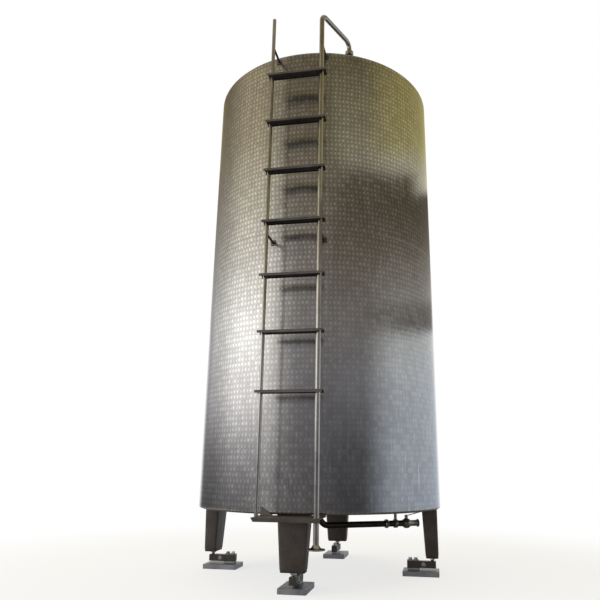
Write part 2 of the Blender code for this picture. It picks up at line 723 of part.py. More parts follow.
def make_foot_bracket(axis, wash_hole):
    """The plate under the ladder's foot, held on the front leg, with a lip and two gussets on the shell."""
    front = LADDER_Y - BRACKET_PAST_STILE
    back = -LEG_FACE - GAP
    plate = box(
        "foot_bracket", (BRACKET_WIDTH, back - front, BRACKET_SHEET),
        (0, (front + back) / 2, BRACKET_TOP - BRACKET_SHEET / 2), SATIN, axis,
    )
    lip = box(
        "foot_bracket_lip", (BRACKET_WIDTH, BRACKET_SHEET, BRACKET_LIP),
        (0, front + BRACKET_SHEET / 2, BRACKET_TOP - BRACKET_LIP / 2), None, axis,
    )
    join(plate, lip)
    reach = BRACKET_WIDTH / 2 - INTO
    turn = asin((reach - GUSSET_WIDTH / 2) / SHELL_RADIUS)
    bulge = SHELL_RADIUS - sqrt(SHELL_RADIUS ** 2 - (GUSSET_WIDTH / 2) ** 2)
    radius = SHELL_RADIUS + GAP + bulge + GUSSET_SHEET / 2
    for name, direction in (("left", -1), ("right", 1)):
        half = GUSSET_WIDTH / 2 * direction
        triangle = [(half, -INTO / 2), (half, GUSSET_RISE), (-half, -INTO / 2)]
        place = (radius * sin(turn) * direction, -radius * cos(turn), BRACKET_TOP)
        gusset = outline(
            f"gusset_{name}", triangle, GUSSET_SHEET, None, axis, place, (pi / 2, 0, turn * direction),
        )
        join(plate, gusset)
    cut(plate, wash_hole)


def make_wash_pipe(axis):
    right = STILE_SPACING / 2
    foot = SHELL_BASE - WASH_BELOW_SHELL
    run = SHELL_TOP + WASH_RUN_HEIGHT
    union = SHELL_TOP + UNION_HEIGHT
    nozzle = NOZZLE_PLACE
    joint = union + GAP / 2
    path = rounded_path(
        [(right, LADDER_Y, foot), (right, LADDER_Y, run), (*nozzle, run), (*nozzle, joint)], WASH_BEND,
    )
    pipe = curve("wash_pipe", path, WASH_RADIUS, TUBE, axis, WASH_WALL)
    flare = foot + WASH_FLANGE
    bore = WASH_RADIUS - WASH_WALL / 2
    ferrule = turned(
        "wash_ferrule",
        [(WASH_RADIUS + SKIN, flare + WASH_FLARE), (WASH_RADIUS + 0.004, flare + WASH_FLARE * 0.45),
         (WASH_FLANGE_RADIUS * 0.72, flare + INTO), (WASH_FLANGE_RADIUS, flare), (WASH_FLANGE_RADIUS, foot),
         (bore, foot - SKIN / 5), (bore, flare + WASH_FLARE)],
        None, axis, (right, LADDER_Y), SMALL_ROUND,
    )
    collar = turned(
        "wash_collar",
        neck(WASH_RADIUS + UNION_COLLAR_RIM, UNION_COLLAR_RIM + SKIN, joint + SKIN / 2, union + UNION_COLLAR),
        None, axis, nozzle, TUBE_SIDES,
    )
    join(pipe, ferrule, collar)

    thread = WASH_RADIUS + UNION_RIM
    stub = union - GAP / 2
    ball = (*SPRAY_PLACE, SHELL_TOP - SPRAY_DEPTH)
    turn = SHELL_TOP - SPRAY_RUN_DEPTH
    inner_path = rounded_path(
        [(*nozzle, stub), (*nozzle, turn), (*SPRAY_PLACE, turn),
         (*SPRAY_PLACE, ball[2] + SPRAY_BALL_RADIUS * 0.8)],
        WASH_BEND * 0.8,
    )
    tube = curve("wash_nozzle", inner_path, WASH_RADIUS, TUBE, axis, WASH_WALL)
    male = turned(
        "wash_nozzle_male",
        neck(thread, thread - WASH_RADIUS + SKIN, stub - UNION_LENGTH / 2, stub - SKIN / 2),
        None, axis, nozzle, TUBE_SIDES,
    )
    foot_ring = turned(
        "wash_nozzle_foot",
        neck(WASH_RADIUS + NOZZLE_FOOT_RIM, NOZZLE_FOOT_RIM + SKIN, ROOF_TOP + GAP, ROOF_TOP + NOZZLE_FOOT),
        None, axis, nozzle, TUBE_SIDES,
    )
    join(tube, male, foot_ring)

    nut_low = union - UNION_LENGTH / 2 - NUT_LOW
    nut_high = union + UNION_COLLAR + NUT_HIGH
    inner_low = thread + GAP
    inner_high = clear_of(WASH_RADIUS)
    turned(
        "union_nut",
        [(UNION_RADIUS - 0.003, nut_high), (UNION_RADIUS, nut_high - 0.003), (UNION_RADIUS, nut_low + 0.002),
         (UNION_RADIUS - 0.002, nut_low), (inner_low, nut_low), (inner_low, union + UNION_COLLAR + GAP),
         (inner_high, union + UNION_COLLAR + GAP), (inner_high, nut_high)],
        FASTENER, axis, nozzle, TUBE_SIDES,
    )

    mouth = clear_of(WASH_RADIUS)
    socket = WASH_RADIUS + SPRAY_SOCKET
    socket_top = ball[2] + SPRAY_BALL_RADIUS + SPRAY_SOCKET_RISE
    hollow = SPRAY_BALL_RADIUS - SPRAY_BALL_WALL
    outside = arc((0, ball[2]), SPRAY_BALL_RADIUS, degrees(acos(socket / SPRAY_BALL_RADIUS)), -90, 8)
    inside = arc((0, ball[2]), hollow, -90, degrees(acos(mouth / hollow)), 8)
    turned(
        "spray_ball", [(socket, socket_top)] + outside + inside + [(mouth, socket_top), (socket, socket_top)],
        SATIN, axis, SPRAY_PLACE, TUBE_SIDES, closed=False,
    )


# ---------------------------------------------------------------- manhole
def make_manhole(axis):
    x, y = MANHOLE_PLACE
    rim = ROOF_TOP + MANHOLE_RISE
    lip_out = MANHOLE_RADIUS + MANHOLE_WALL + MANHOLE_LIP
    tube = [
        (lip_out, rim), (lip_out, rim - MANHOLE_WALL), (MANHOLE_RADIUS + MANHOLE_WALL, rim - MANHOLE_WALL),
        (MANHOLE_RADIUS + MANHOLE_WALL, NECK_BASE), (MANHOLE_RADIUS, NECK_BASE), (MANHOLE_RADIUS, rim),
    ]
    manhole = turned("manhole_neck", tube, SATIN, axis, MANHOLE_PLACE)

    gasket_low = rim + GAP
    gasket_high = gasket_low + GASKET
    seal = neck(lip_out, lip_out - MANHOLE_RADIUS, gasket_low, gasket_high)
    gasket = turned("lid_gasket", seal, RUBBER, axis, MANHOLE_PLACE)
    lid_low = gasket_high + GAP
    lid_in = lip_out + LID_RIM_CLEARANCE
    lid_out = lid_in + LID_SHEET
    lid_top = lid_low + LID_SHEET
    hinge_y = y + lid_out + HINGE_OFFSET
    pin_z = lid_low + LID_SHEET / 2
    pivot = empty("manhole_hinge", (x, hinge_y, pin_z), parent=axis)
    crown = lid_top + LID_CROWN
    inner_bend, outer_bend = (lip_out * share for share in LID_SHOULDER)
    shoulder = lid_top + LID_CROWN * LID_SHOULDER_RISE
    dome = [(0, crown), (inner_bend, shoulder), (outer_bend, lid_top), (lid_out, lid_top)]
    dome += [(lid_out, lid_top - LID_RIM), (lid_in, lid_top - LID_RIM), (lid_in, lid_low)]
    dome += [(outer_bend, lid_low), (inner_bend, shoulder - LID_SHEET), (0, crown - LID_SHEET)]
    lid = turned("manhole_lid", dome, SATIN, axis, MANHOLE_PLACE, closed=False)
    under_pivot(lid, pivot)
    leaf_back = y + lid_out - 2 * INTO
    leaf = box(
        "lid_leaf", (HINGE_LEAF, hinge_y - leaf_back, LID_SHEET + INTO),
        (x, (hinge_y + leaf_back) / 2, pin_z), None, axis,
    )

    def along_hinge(name, radius, length, material=None):
        return lying(cylinder(name, radius, 0, length, material, axis), "X", (x, hinge_y, pin_z))

    half = HINGE_LEAF / 2
    ear_near = half + GAP + HINGE_SIDE
    ear_out = ear_near + HINGE_EAR
    hole_length = 2 * (ear_out + PAST)
    join(lid, leaf, along_hinge("lid_knuckle", HINGE_KNUCKLE, HINGE_LEAF))
    cut(lid, along_hinge("lid_pin_hole", HINGE_PIN_RADIUS + RUN_GAP, hole_length))

    reach = hinge_y - y
    wall = sqrt((MANHOLE_RADIUS + MANHOLE_WALL / 2) ** 2 - ear_out ** 2) * cos(pi / ROUND)
    shelf = -LID_RIM - LID_SHEET - 2 * INTO
    ear_tip = reach + HINGE_KNUCKLE + INTO
    ear = [
        (wall, shelf - EAR_ROOT), (ear_tip, shelf), (ear_tip, HINGE_KNUCKLE),
        (reach - HINGE_KNUCKLE, HINGE_KNUCKLE), (reach - HINGE_KNUCKLE, shelf), (wall, shelf),
    ]
    for number, direction in enumerate((-1, 1)):
        ear_x = x + direction * (ear_near + HINGE_EAR / 2)
        plate = outline(
            f"hinge_ear_{number}", ear, HINGE_EAR, None, axis, (ear_x, y, pin_z), (pi / 2, 0, pi / 2),
        )
        join(manhole, plate)
    cut(manhole, along_hinge("neck_pin_hole", HINGE_PIN_RADIUS + GAP, hole_length))
    along_hinge("hinge_pin", HINGE_PIN_RADIUS, 2 * (ear_out + HINGE_SIDE), FASTENER)

    foot = lid_top
    grip_y = y - GRIP_FORWARD
    grip_path = rounded_path(
        [(x - GRIP_WIDTH / 2, grip_y, foot), (x - GRIP_WIDTH / 2, grip_y, foot + GRIP_RISE),
         (x + GRIP_WIDTH / 2, grip_y, foot + GRIP_RISE), (x + GRIP_WIDTH / 2, grip_y, foot)], GRIP_BEND,
    )
    grip = curve("lid_handle", grip_path, GRIP_RADIUS, FASTENER, axis, sides=12)
    lid_top_clearance = turned(
        "lid_clearance",
        [(0, crown + GAP), (inner_bend, shoulder + GAP), (outer_bend, lid_top + GAP),
         (outer_bend, lid_low - PAST), (0, lid_low - PAST)],
        None, axis, MANHOLE_PLACE, closed=False,
    )
    cut(grip, lid_top_clearance)
    for piece in (grip, gasket):
        under_pivot(piece, pivot)


def under_pivot(piece, pivot):
    """Hangs a moving piece on its joint's empty, which leaves it where it is."""
    bpy.context.view_layer.update()
    place = piece.matrix_world.copy()
    piece.parent = pivot
    piece.matrix_parent_inverse = pivot.matrix_world.inverted()
    piece.matrix_basis = place
    return piece


# ---------------------------------------------------------------- agitator and vent
def make_agitator(axis):
    x, y = AGITATOR_PLACE
    plate_low = ROOF_TOP + PORT_RISE
    plate_high = plate_low + MOUNT_THICKNESS
    bore = PORT_RADIUS - PORT_WALL
    turned(
        "agitator_mount",
        [(MOUNT_RADIUS, plate_high), (MOUNT_RADIUS, plate_low), (PORT_RADIUS, plate_low),
         (PORT_RADIUS, NECK_BASE), (bore, NECK_BASE), (bore, plate_high)],
        SATIN, axis, AGITATOR_PLACE, SMALL_ROUND,
    )
    gear_low = plate_high + GAP
    gear_high = gear_low + GEARBOX_SIZE[2]
    gearbox = box(
        "gearbox", GEARBOX_SIZE, (x, y, (gear_low + gear_high) / 2), CASTING, axis, bevel=GEARBOX_EDGE,
    )
    cut(gearbox, cylinder(
        "gearbox_bore", SHAFT_RADIUS + RUN_GAP, gear_low - PAST, gear_high + PAST, None, axis, AGITATOR_PLACE,
        TUBE_SIDES,
    ))
    motor_start = y + GEARBOX_SIZE[1] / 2 + GAP
    motor_z = gear_low + GEARBOX_SIZE[2] / 2 + MOTOR_LIFT
    lying(
        cylinder("agitator_motor", MOTOR_RADIUS, 0, MOTOR_LENGTH, CASTING, axis, (0, 0), SMALL_ROUND), "Y",
        (x, motor_start + MOTOR_LENGTH / 2, motor_z),
    )
    pivot = empty("agitator_axis", (x, y, 0), parent=axis)
    shaft_low = VESSEL_BASE + SHAFT_CLEARANCE
    shaft_high = gear_high - SHAFT_COVER
    cylinder("agitator_shaft", SHAFT_RADIUS, shaft_low, shaft_high, TUBE, pivot, sides=TUBE_SIDES)
    hub_low = shaft_low + HUB_LIFT
    hub_high = hub_low + HUB_HEIGHT
    impeller = cylinder("impeller", HUB_RADIUS, hub_low, hub_high, SATIN, pivot, sides=TUBE_SIDES)
    root, tip = (SHAFT_RADIUS + HUB_RADIUS) / 2, BLADE_SPAN / 2
    for number, direction in enumerate((1, -1)):
        blade = box(
            f"blade_{number}", (tip - root, BLADE_WIDTH, BLADE_SHEET), ((tip + root) / 2 * direction, 0, 0),
            None, pivot,
        )
        blade.location.z = (hub_low + hub_high) / 2
        blade.rotation_euler.x = radians(BLADE_PITCH) * direction
        join(impeller, blade)
    cut(impeller, cylinder(
        "impeller_bore", SHAFT_RADIUS + GAP, shaft_low, hub_high + PAST, None, pivot, sides=TUBE_SIDES,
    ))


def make_vent(axis):
    top = ROOF_TOP + VENT_RISE
    vent = turned("vent", neck(VENT_RADIUS, VENT_WALL, NECK_BASE, top), SATIN, axis, VENT_PLACE, SMALL_ROUND)
    cap_low = top - VENT_CAP_SKIRT
    shoulder, bend, crown = (top + rise for rise in VENT_CAP_RISE)
    inner = VENT_CAP_RADIUS - VENT_CAP_SHEET
    cap = turned(
        "vent_cap",
        [(0, crown), (VENT_CAP_RADIUS * 0.6, bend), (VENT_CAP_RADIUS, shoulder), (VENT_CAP_RADIUS, cap_low),
         (inner, cap_low), (inner, shoulder - VENT_CAP_SHEET), (inner * 0.6, bend - VENT_CAP_SHEET * 1.5),
         (0, crown - VENT_CAP_SHEET * 1.5)],
        None, axis, VENT_PLACE, SMALL_ROUND, closed=False,
    )
    span = 2 * VENT_CAP_RADIUS - VENT_CAP_SHEET
    for name, size in (("x", (span, VENT_RIB)), ("y", (VENT_RIB, span))):
        rib = box(f"vent_rib_{name}", (*size, VENT_RIB_DEPTH), (*VENT_PLACE, top - INTO / 2), None, axis)
        join(vent, rib)
    join(vent, cap)


# ---------------------------------------------------------------- outlet
def make_outlet(axis):
    """The outlet line lies along +X of its own frame, turned to the outlet's azimuth."""
    frame = empty("outlet_frame", (0, 0, 0), radians(OUTLET_AZIMUTH - 90), axis)
    top = VESSEL_BASE + VESSEL_WALL
    pipe_end = VALVE_AT - VALVE_LENGTH / 2 - GAP
    path = rounded_path([(0, 0, top), (0, 0, OUTLET_Z), (pipe_end, 0, OUTLET_Z)], OUTLET_BEND)
    curve("outlet_pipe", path, OUTLET_RADIUS, TUBE, frame, OUTLET_WALL)

    def ring(name, profile, at, material=None):
        """A profile of (radius, distance along the pipe) turned about the pipe."""
        piece = turned(name, profile, material, frame, steps=SMALL_ROUND)
        piece.rotation_euler = (0, pi / 2, 0)
        piece.location = (at, 0, OUTLET_Z)
        return piece

    around = OUTLET_RADIUS + GAP
    half = COUPLING_LENGTH / 2
    ring(
        "pipe_coupling",
        [(COUPLING_RADIUS - COUPLING_EDGE, half), (COUPLING_RADIUS, half - COUPLING_EDGE),
         (COUPLING_RADIUS, COUPLING_EDGE - half), (COUPLING_RADIUS - COUPLING_EDGE, -half),
         (around, -half), (around, half)],
        COUPLING_AT, FASTENER,
    )

    clip = neck(HANGER_BAND, HANGER_BAND - around, -HANGER_WIDTH / 2, HANGER_WIDTH / 2)
    band = ring("hanger_band", clip, HANGER_AT)
    plate_under = SHELL_BASE + SHEET
    strap_low = OUTLET_Z + HANGER_BAND - INTO
    hanger = box(
        "outlet_hanger", (HANGER_WIDTH, HANGER_SHEET, plate_under - strap_low),
        (HANGER_AT, 0, (plate_under + strap_low) / 2), SATIN, frame,
    )
    pad = box(
        "hanger_pad", (*HANGER_PAD, HANGER_SHEET), (HANGER_AT, 0, plate_under - HANGER_SHEET / 2), None, frame,
    )
    join(hanger, band, pad)

    make_valve(frame, ring)


def make_valve(frame, ring):
    bore = OUTLET_RADIUS - OUTLET_WALL
    half = VALVE_LENGTH / 2
    body = ring(
        "valve_body",
        [(OUTLET_RADIUS + VALVE_NECK, half), (VALVE_RADIUS, half - VALVE_SHOULDER),
         (VALVE_RADIUS, VALVE_SHOULDER - half), (OUTLET_RADIUS + VALVE_NECK, -half), (bore, -half),
         (bore, half)],
        VALVE_AT, SATIN,
    )
    place = (VALVE_AT, 0)
    boss_top = OUTLET_Z + VALVE_BOSS_TOP
    boss = cylinder(
        "valve_boss", VALVE_BOSS_RADIUS, OUTLET_Z + bore + INTO, boss_top, None, frame, place, TUBE_SIDES,
    )
    stem_hole = cylinder(
        "stem_hole", STEM_RADIUS + RUN_GAP, OUTLET_Z, boss_top + PAST, None, frame, place, TUBE_SIDES,
    )
    join(body, boss)
    tail_start = half - 2 * INTO
    tail_end = half + TAIL_LENGTH
    tail = ring(
        "valve_tail",
        [(FERRULE_RADIUS, tail_end), (FERRULE_RADIUS, tail_end - FERRULE),
         (OUTLET_RADIUS, tail_end - 2 * FERRULE), (OUTLET_RADIUS, tail_start), (bore, tail_start),
         (bore, tail_end)],
        VALVE_AT,
    )
    join(body, tail)
    cut(body, stem_hole)

    pivot = empty("valve_stem_axis", (VALVE_AT, 0, OUTLET_Z), parent=frame)
    stem_top = VALVE_BOSS_TOP + STEM_ABOVE_BOSS
    disc = cylinder(
        "valve_disc", bore - DISC_CLEARANCE, -DISC_THICKNESS / 2, DISC_THICKNESS / 2, SATIN, pivot,
        sides=SMALL_ROUND,
    )
    disc.rotation_euler = (pi / 2, 0, 0)
    stem = cylinder("valve_stem", STEM_RADIUS, 0, stem_top, None, pivot, sides=TUBE_SIDES)
    join(disc, stem)

    hub_low = VALVE_BOSS_TOP + GAP
    hub_high = stem_top - INTO / 2
    lever = cylinder("valve_lever", LEVER_HUB_RADIUS, hub_low, hub_high, FASTENER, pivot, sides=TUBE_SIDES)
    tilt = atan2(LEVER_RISE, LEVER_LENGTH)
    arm = box(
        "lever_arm", (LEVER_LENGTH, LEVER_WIDTH, LEVER_THICKNESS),
        (LEVER_LENGTH / 2, 0, 0), None, pivot, bevel=LEVER_THICKNESS * 0.4,
    )
    arm.location = (LEVER_START, 0, hub_low + LEVER_LIFT)
    arm.rotation_euler.y = -tilt
    join(lever, arm)
    cut(lever, cylinder(
        "lever_hole", STEM_RADIUS + GAP, hub_low - PAST, stem_top + PAST, None, pivot, sides=TUBE_SIDES,
    ))


# ---------------------------------------------------------------- build
def shade(piece):
    """Applies a piece's modifiers and shades it smooth except at its corners."""
    graph = bpy.context.evaluated_depsgraph_get()
    mesh = bpy.data.meshes.new_from_object(piece.evaluated_get(graph))
    piece.modifiers.clear()
    piece.data = mesh
    mesh.shade_smooth()
    mesh.set_sharp_from_angle(angle=radians(35))


def build():
    axis = empty("tank_axis", (0, AXIS_Y, 0))
    lids = make_body(axis)
    port("manhole", MANHOLE_RADIUS + MANHOLE_WALL, MANHOLE_PLACE, lids, axis, ROUND)
    port("agitator", PORT_RADIUS, AGITATOR_PLACE, lids, axis)
    port("vent", VENT_RADIUS, VENT_PLACE, lids, axis)
    port("nozzle", clear_of(WASH_RADIUS), NOZZLE_PLACE, lids, axis, TUBE_SIDES)
    for side, azimuth in LEG_AZIMUTHS.items():
        frame = empty(f"{side}_foot_frame", (0, 0, 0), radians(azimuth - 90), axis)
        make_leg(side, frame)
        make_foot(side, frame)
    make_ladder(axis)
    make_wash_pipe(axis)
    make_manhole(axis)
    make_agitator(axis)
    make_vent(axis)
    make_outlet(axis)
    bpy.context.view_layer.update()
    for piece in PARTS.objects:
        if piece.type == "MESH":
            shade(piece)


build()
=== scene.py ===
# %% [markdown]
# # A bulk milk tank in spotted stainless steel
# The tank is an upright insulated cylinder on four weigh feet. A ladder climbs its front, and the right
# stile of the ladder is also the pipe that carries cleaning liquid up to the roof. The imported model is
# the fixed frame: every piece here takes its place from that frame's boxes, so nothing is fitted by eye.
# This cell loads the frame and measures the few places that the rest is worked out from.

# %% Load the frame
import json
from math import asin, atan2, cos, degrees, pi, radians, sin, sqrt, tan

import bmesh
import bpy
from mathutils import Matrix, Vector

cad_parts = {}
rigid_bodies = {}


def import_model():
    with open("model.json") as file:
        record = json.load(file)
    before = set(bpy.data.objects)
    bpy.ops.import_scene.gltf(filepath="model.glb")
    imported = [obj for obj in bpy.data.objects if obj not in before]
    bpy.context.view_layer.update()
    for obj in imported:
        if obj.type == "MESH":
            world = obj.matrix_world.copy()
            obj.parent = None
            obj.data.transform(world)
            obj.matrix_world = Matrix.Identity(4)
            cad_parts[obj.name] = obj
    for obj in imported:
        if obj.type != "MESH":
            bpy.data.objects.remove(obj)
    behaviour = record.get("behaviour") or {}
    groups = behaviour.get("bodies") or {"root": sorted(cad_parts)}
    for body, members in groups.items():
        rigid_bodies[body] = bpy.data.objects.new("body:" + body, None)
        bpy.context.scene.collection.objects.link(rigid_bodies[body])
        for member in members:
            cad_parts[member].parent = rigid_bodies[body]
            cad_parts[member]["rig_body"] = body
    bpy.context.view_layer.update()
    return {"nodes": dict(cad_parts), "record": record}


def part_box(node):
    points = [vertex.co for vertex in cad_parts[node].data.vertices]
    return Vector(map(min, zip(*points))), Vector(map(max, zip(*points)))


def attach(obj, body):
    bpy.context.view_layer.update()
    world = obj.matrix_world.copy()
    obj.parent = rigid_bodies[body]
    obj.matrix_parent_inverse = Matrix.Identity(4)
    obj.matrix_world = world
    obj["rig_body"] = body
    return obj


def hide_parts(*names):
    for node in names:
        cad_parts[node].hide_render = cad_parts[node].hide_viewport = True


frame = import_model()

shell_low, shell_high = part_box("outer_shell")
TANK_RADIUS = (shell_high.x - shell_low.x) / 2
AXIS_Y = (shell_low.y + shell_high.y) / 2
SHELL_BASE, SHELL_TOP = shell_low.z, shell_high.z
print("tank radius", round(TANK_RADIUS, 4), "from", round(SHELL_BASE, 3), "to", round(SHELL_TOP, 3))

# %% [markdown]
# ## Two small helpers
# Blender's shaders work in linear light, but a colour is easier to choose as an sRGB hex value. One
# function turns it. The other adds a shader node, sets its properties, and fills or links its sockets,
# so that a material reads as a list of what it is made of. Two settings come up often, so they have
# names: SMOOTH eases a range in and out, and IN_COLOUR makes a mix node blend colours.

# %% Colours and nodes
MILLIMETRE = 0.001
WHITE = (1, 1, 1, 1)
SMOOTH = {"interpolation_type": "SMOOTHSTEP"}
IN_COLOUR = {"data_type": "RGBA"}


def linear(hex_value):
    """An sRGB hex value such as "8a8782" as linear red, green, blue and alpha."""
    parts = [int(hex_value[i:i + 2], 16) / 255 for i in (0, 2, 4)]
    return (*[c / 12.92 if c <= 0.04045 else ((c + 0.055) / 1.055) ** 2.4 for c in parts], 1.0)


def add_node(tree, kind, inputs=(), **settings):
    """Adds a node. inputs is a list in order, or a dict by name or index, of values, sockets or nodes."""
    node = tree.nodes.new(kind)
    for key, value in settings.items():
        setattr(node, key, value)
    for key, value in inputs.items() if isinstance(inputs, dict) else enumerate(inputs):
        if isinstance(value, bpy.types.Node):
            value = next(socket for socket in value.outputs if socket.enabled)
        if isinstance(value, bpy.types.NodeSocket):
            tree.links.new(value, node.inputs[key])
        else:
            node.inputs[key].default_value = value
    return node


print("middle grey in linear light:", [round(part, 3) for part in linear("808080")])

# %% [markdown]
# ## The camera
# The camera stands low in front of the tank, a little to the right of the ladder, and looks up. Its
# distance and height follow the tank's radius, so the view stays the same if the tank is made larger.

# %% Camera
CAMERA_AZIMUTH = radians(11)
CAMERA_DISTANCE = 5.304 * TANK_RADIUS
CAMERA_HEIGHT = SHELL_BASE + 0.3236 * TANK_RADIUS
YAW, PITCH, ROLL = radians(0.79), radians(15.60), radians(0.384)

heading = Matrix.Rotation(CAMERA_AZIMUTH, 3, "Z")
forward = Vector((sin(YAW) * cos(PITCH), cos(YAW) * cos(PITCH), sin(PITCH)))
level = Vector((cos(YAW), -sin(YAW), 0))
upward = level.cross(forward)
right_side = level * cos(ROLL) + upward * sin(ROLL)
top_side = upward * cos(ROLL) - level * sin(ROLL)

camera_data = bpy.data.cameras.new("camera")
camera_data.sensor_width = 36
camera_data.lens = 35.72
camera_data.shift_x = -0.05
camera_data.clip_end = 200
camera = bpy.data.objects.new("camera", camera_data)
bpy.context.scene.collection.objects.link(camera)
turn = Matrix((heading @ right_side, heading @ top_side, heading @ -forward)).transposed()
camera.matrix_world = (
    Matrix.Translation((0, AXIS_Y, 0))
    @ Matrix.Translation(heading @ Vector((0, -CAMERA_DISTANCE, CAMERA_HEIGHT)))
    @ turn.to_4x4()
)
bpy.context.scene.camera = camera
print("camera at", [round(v, 3) for v in camera.matrix_world.translation])

# %% [markdown]
# ## The room
# Bare metal has almost no colour of its own: it shows the room. So most of the tank's look is decided
# here. The room is a studio with a large soft window on the tank's left, dim walls behind the camera
# with a dark beam across them, a paler wall on the right and a warm ceiling. Each wall is a short ramp
# of tones from floor to ceiling, and each is blended into the next round the room. Where one starts and
# ends is read from how far a ray points backward, sideward, or in a direction between the two.

# %% Directions in the room
RIGHT_TURN, END_TURN = radians(35), radians(60)

BACK = heading @ Vector((0, 1, 0))
SIDE = heading @ Vector((1, 0, 0))
RIGHT, END = (SIDE * cos(turn) + BACK * sin(turn) for turn in (RIGHT_TURN, END_TURN))

world = bpy.data.worlds.new("studio")
bpy.context.scene.world = world
world.use_nodes = True
room = world.node_tree
room.nodes.clear()
look = add_node(room, "ShaderNodeTexCoord").outputs["Generated"]
rise = add_node(room, "ShaderNodeSeparateXYZ", [look]).outputs["Z"]
backward, sideward, rightward, endward = (
    add_node(room, "ShaderNodeVectorMath", [look, direction], operation="DOT_PRODUCT").outputs["Value"]
    for direction in (BACK, SIDE, RIGHT, END)
)
print("room directions:", [round(part, 2) for part in (*BACK, *SIDE, *RIGHT, *END)])

# %% Walls from floor to ceiling
WARM_CEILING = (60, "b5b1a6")


def wall(*tones):
    """A ramp of (elevation in degrees, sRGB hex) tones, read by how high a ray points."""
    tones = (*tones, WARM_CEILING)
    lowest, highest = sin(radians(tones[0][0])), sin(radians(tones[-1][0]))
    height = add_node(room, "ShaderNodeMapRange", [rise, lowest, highest])
    made = add_node(room, "ShaderNodeValToRGB", [height])
    ramp = made.color_ramp
    for number, (elevation, tone) in enumerate(tones):
        position = (sin(radians(elevation)) - lowest) / (highest - lowest)
        stop = ramp.elements[number] if number < 2 else ramp.elements.new(position)
        stop.position, stop.color = position, linear(tone)
    return made


window_wall = wall(
    (-6, "3c3c40"), (1, "8c8b8e"), (6, "dcdbdd"), (12, "fffffe"), (20, "ccc9bf"), (30, "9e957f"),
    (40, "877b66"),
)
ladder_wall = wall(
    (-6, "5c595c"), (2, "7c7c84"), (8, "a2a2aa"), (15, "b2b0ae"), (24, "978e7e"), (31, "8b8168"),
    (42, "6b5c3c"),
)
beam_wall = wall(
    (-6, "505056"), (2, "6a6a70"), (8, "96969d"), (16, "958f8a"), (20, "867e72"), (27.6, "625949"),
    (28.3, "c0baa8"), (30.5, "aba488"), (42, "5c522f"),
)
right_wall, end_wall = (wall(
    (-6, "c4cfe0"), (6, "dce5f0"), (12, "ecf0f2"), (12.8, "878381"), (14.4, "888482"), (15.8, "b4b0aa"),
    (21, "7d7568"), (beam, "5f5646"), (beam + 0.8, "dedbc8"), (30, "c4ba82"), (45, "988950"),
) for beam in (26.9, 25.1))
print("walls: window, ladder, beam, right and right end")

# %% Walls blended round the room
WINDOW_STRENGTH = 2.1
WINDOW_END = (-0.1, 0.6)

reach = [backward, *WINDOW_END, WINDOW_STRENGTH, WINDOW_STRENGTH / 2]
window_reach = add_node(room, "ShaderNodeMapRange", reach, **SMOOTH)
walls = add_node(room, "ShaderNodeVectorMath", {0: window_wall, 3: window_reach}, operation="SCALE")
corners = (
    (ladder_wall, sideward, -0.86, -0.42), (beam_wall, sideward, -0.08, 0.14),
    (right_wall, rightward, 0.0, 0.75), (end_wall, endward, 0.55, 0.88),
)
for next_wall, direction, start, end in corners:
    turn = add_node(room, "ShaderNodeMapRange", [direction, start, end], **SMOOTH)
    walls = add_node(room, "ShaderNodeMix", {0: turn, 6: walls, 7: next_wall}, **IN_COLOUR)
print("room corners:", len(corners))

# %% [markdown]
# ### White backdrop
# The camera sees a plain white backdrop wherever it looks past the tank. Metal and glass have to show
# the same backdrop, so mirrored rays that leave low behind the tank see it too, and fade into the walls
# at its edges. Where it is white is a mask made from two of the directions above.

# %% Backdrop
BACKDROP_SECTOR = (0.80, 0.97)
BACKDROP_TOP = (sin(radians(21)), sin(radians(8)))

path = add_node(room, "ShaderNodeLightPath")
sector = add_node(room, "ShaderNodeMapRange", [backward, *BACKDROP_SECTOR], **SMOOTH)
low_down = add_node(room, "ShaderNodeMapRange", [rise, *BACKDROP_TOP], **SMOOTH)
behind = add_node(room, "ShaderNodeMath", [sector, low_down], operation="MULTIPLY")
mirrored = add_node(room, "ShaderNodeMath", [path.outputs["Is Glossy Ray"], behind], operation="MULTIPLY")
straight = [path.outputs["Is Camera Ray"], path.outputs["Is Transmission Ray"]]
direct = add_node(room, "ShaderNodeMath", straight, operation="MAXIMUM")
seen = add_node(room, "ShaderNodeMath", [direct, mirrored], operation="MAXIMUM")
shown = add_node(room, "ShaderNodeMix", {0: seen, 6: walls, 7: WHITE}, **IN_COLOUR)
studio = add_node(room, "ShaderNodeBackground", {"Color": shown, "Strength": 1.0})
add_node(room, "ShaderNodeOutputWorld", [studio])
print("room:", len(room.nodes), "nodes")

# %% [markdown]
# ### One soft lamp
# The window is part of the room, which is enough for reflections. A rectangle of light in the same place
# gives dull surfaces their direction and the floor its shadow. It is hidden from mirrored rays, because
# the metal already shows the window.

# %% Lamps
def soft_lamp(name, azimuth, distance, height, width, tall, brightness, colour=(1, 1, 1)):
    """A rectangle of light facing the tank. Its brightness is what a mirror would show of it."""
    lamp = bpy.data.lights.new(name, "AREA")
    lamp.shape = "RECTANGLE"
    lamp.size, lamp.size_y = width, tall
    lamp.energy = brightness * pi * width * tall
    lamp.color = colour
    piece = bpy.data.objects.new(name, lamp)
    bpy.context.scene.collection.objects.link(piece)
    place = Vector((sin(azimuth) * distance, AXIS_Y - cos(azimuth) * distance, height))
    piece.location = place
    aim = Vector((0, AXIS_Y, height)) - place
    piece.rotation_euler = aim.to_track_quat("-Z", "Y").to_euler()
    piece.visible_camera = False
    piece.visible_glossy = False
    return piece


soft_lamp("window_left", CAMERA_AZIMUTH + radians(-80), 5.0, 3.2, 4.0, 2.4, 0.8, (1.0, 0.995, 0.97))

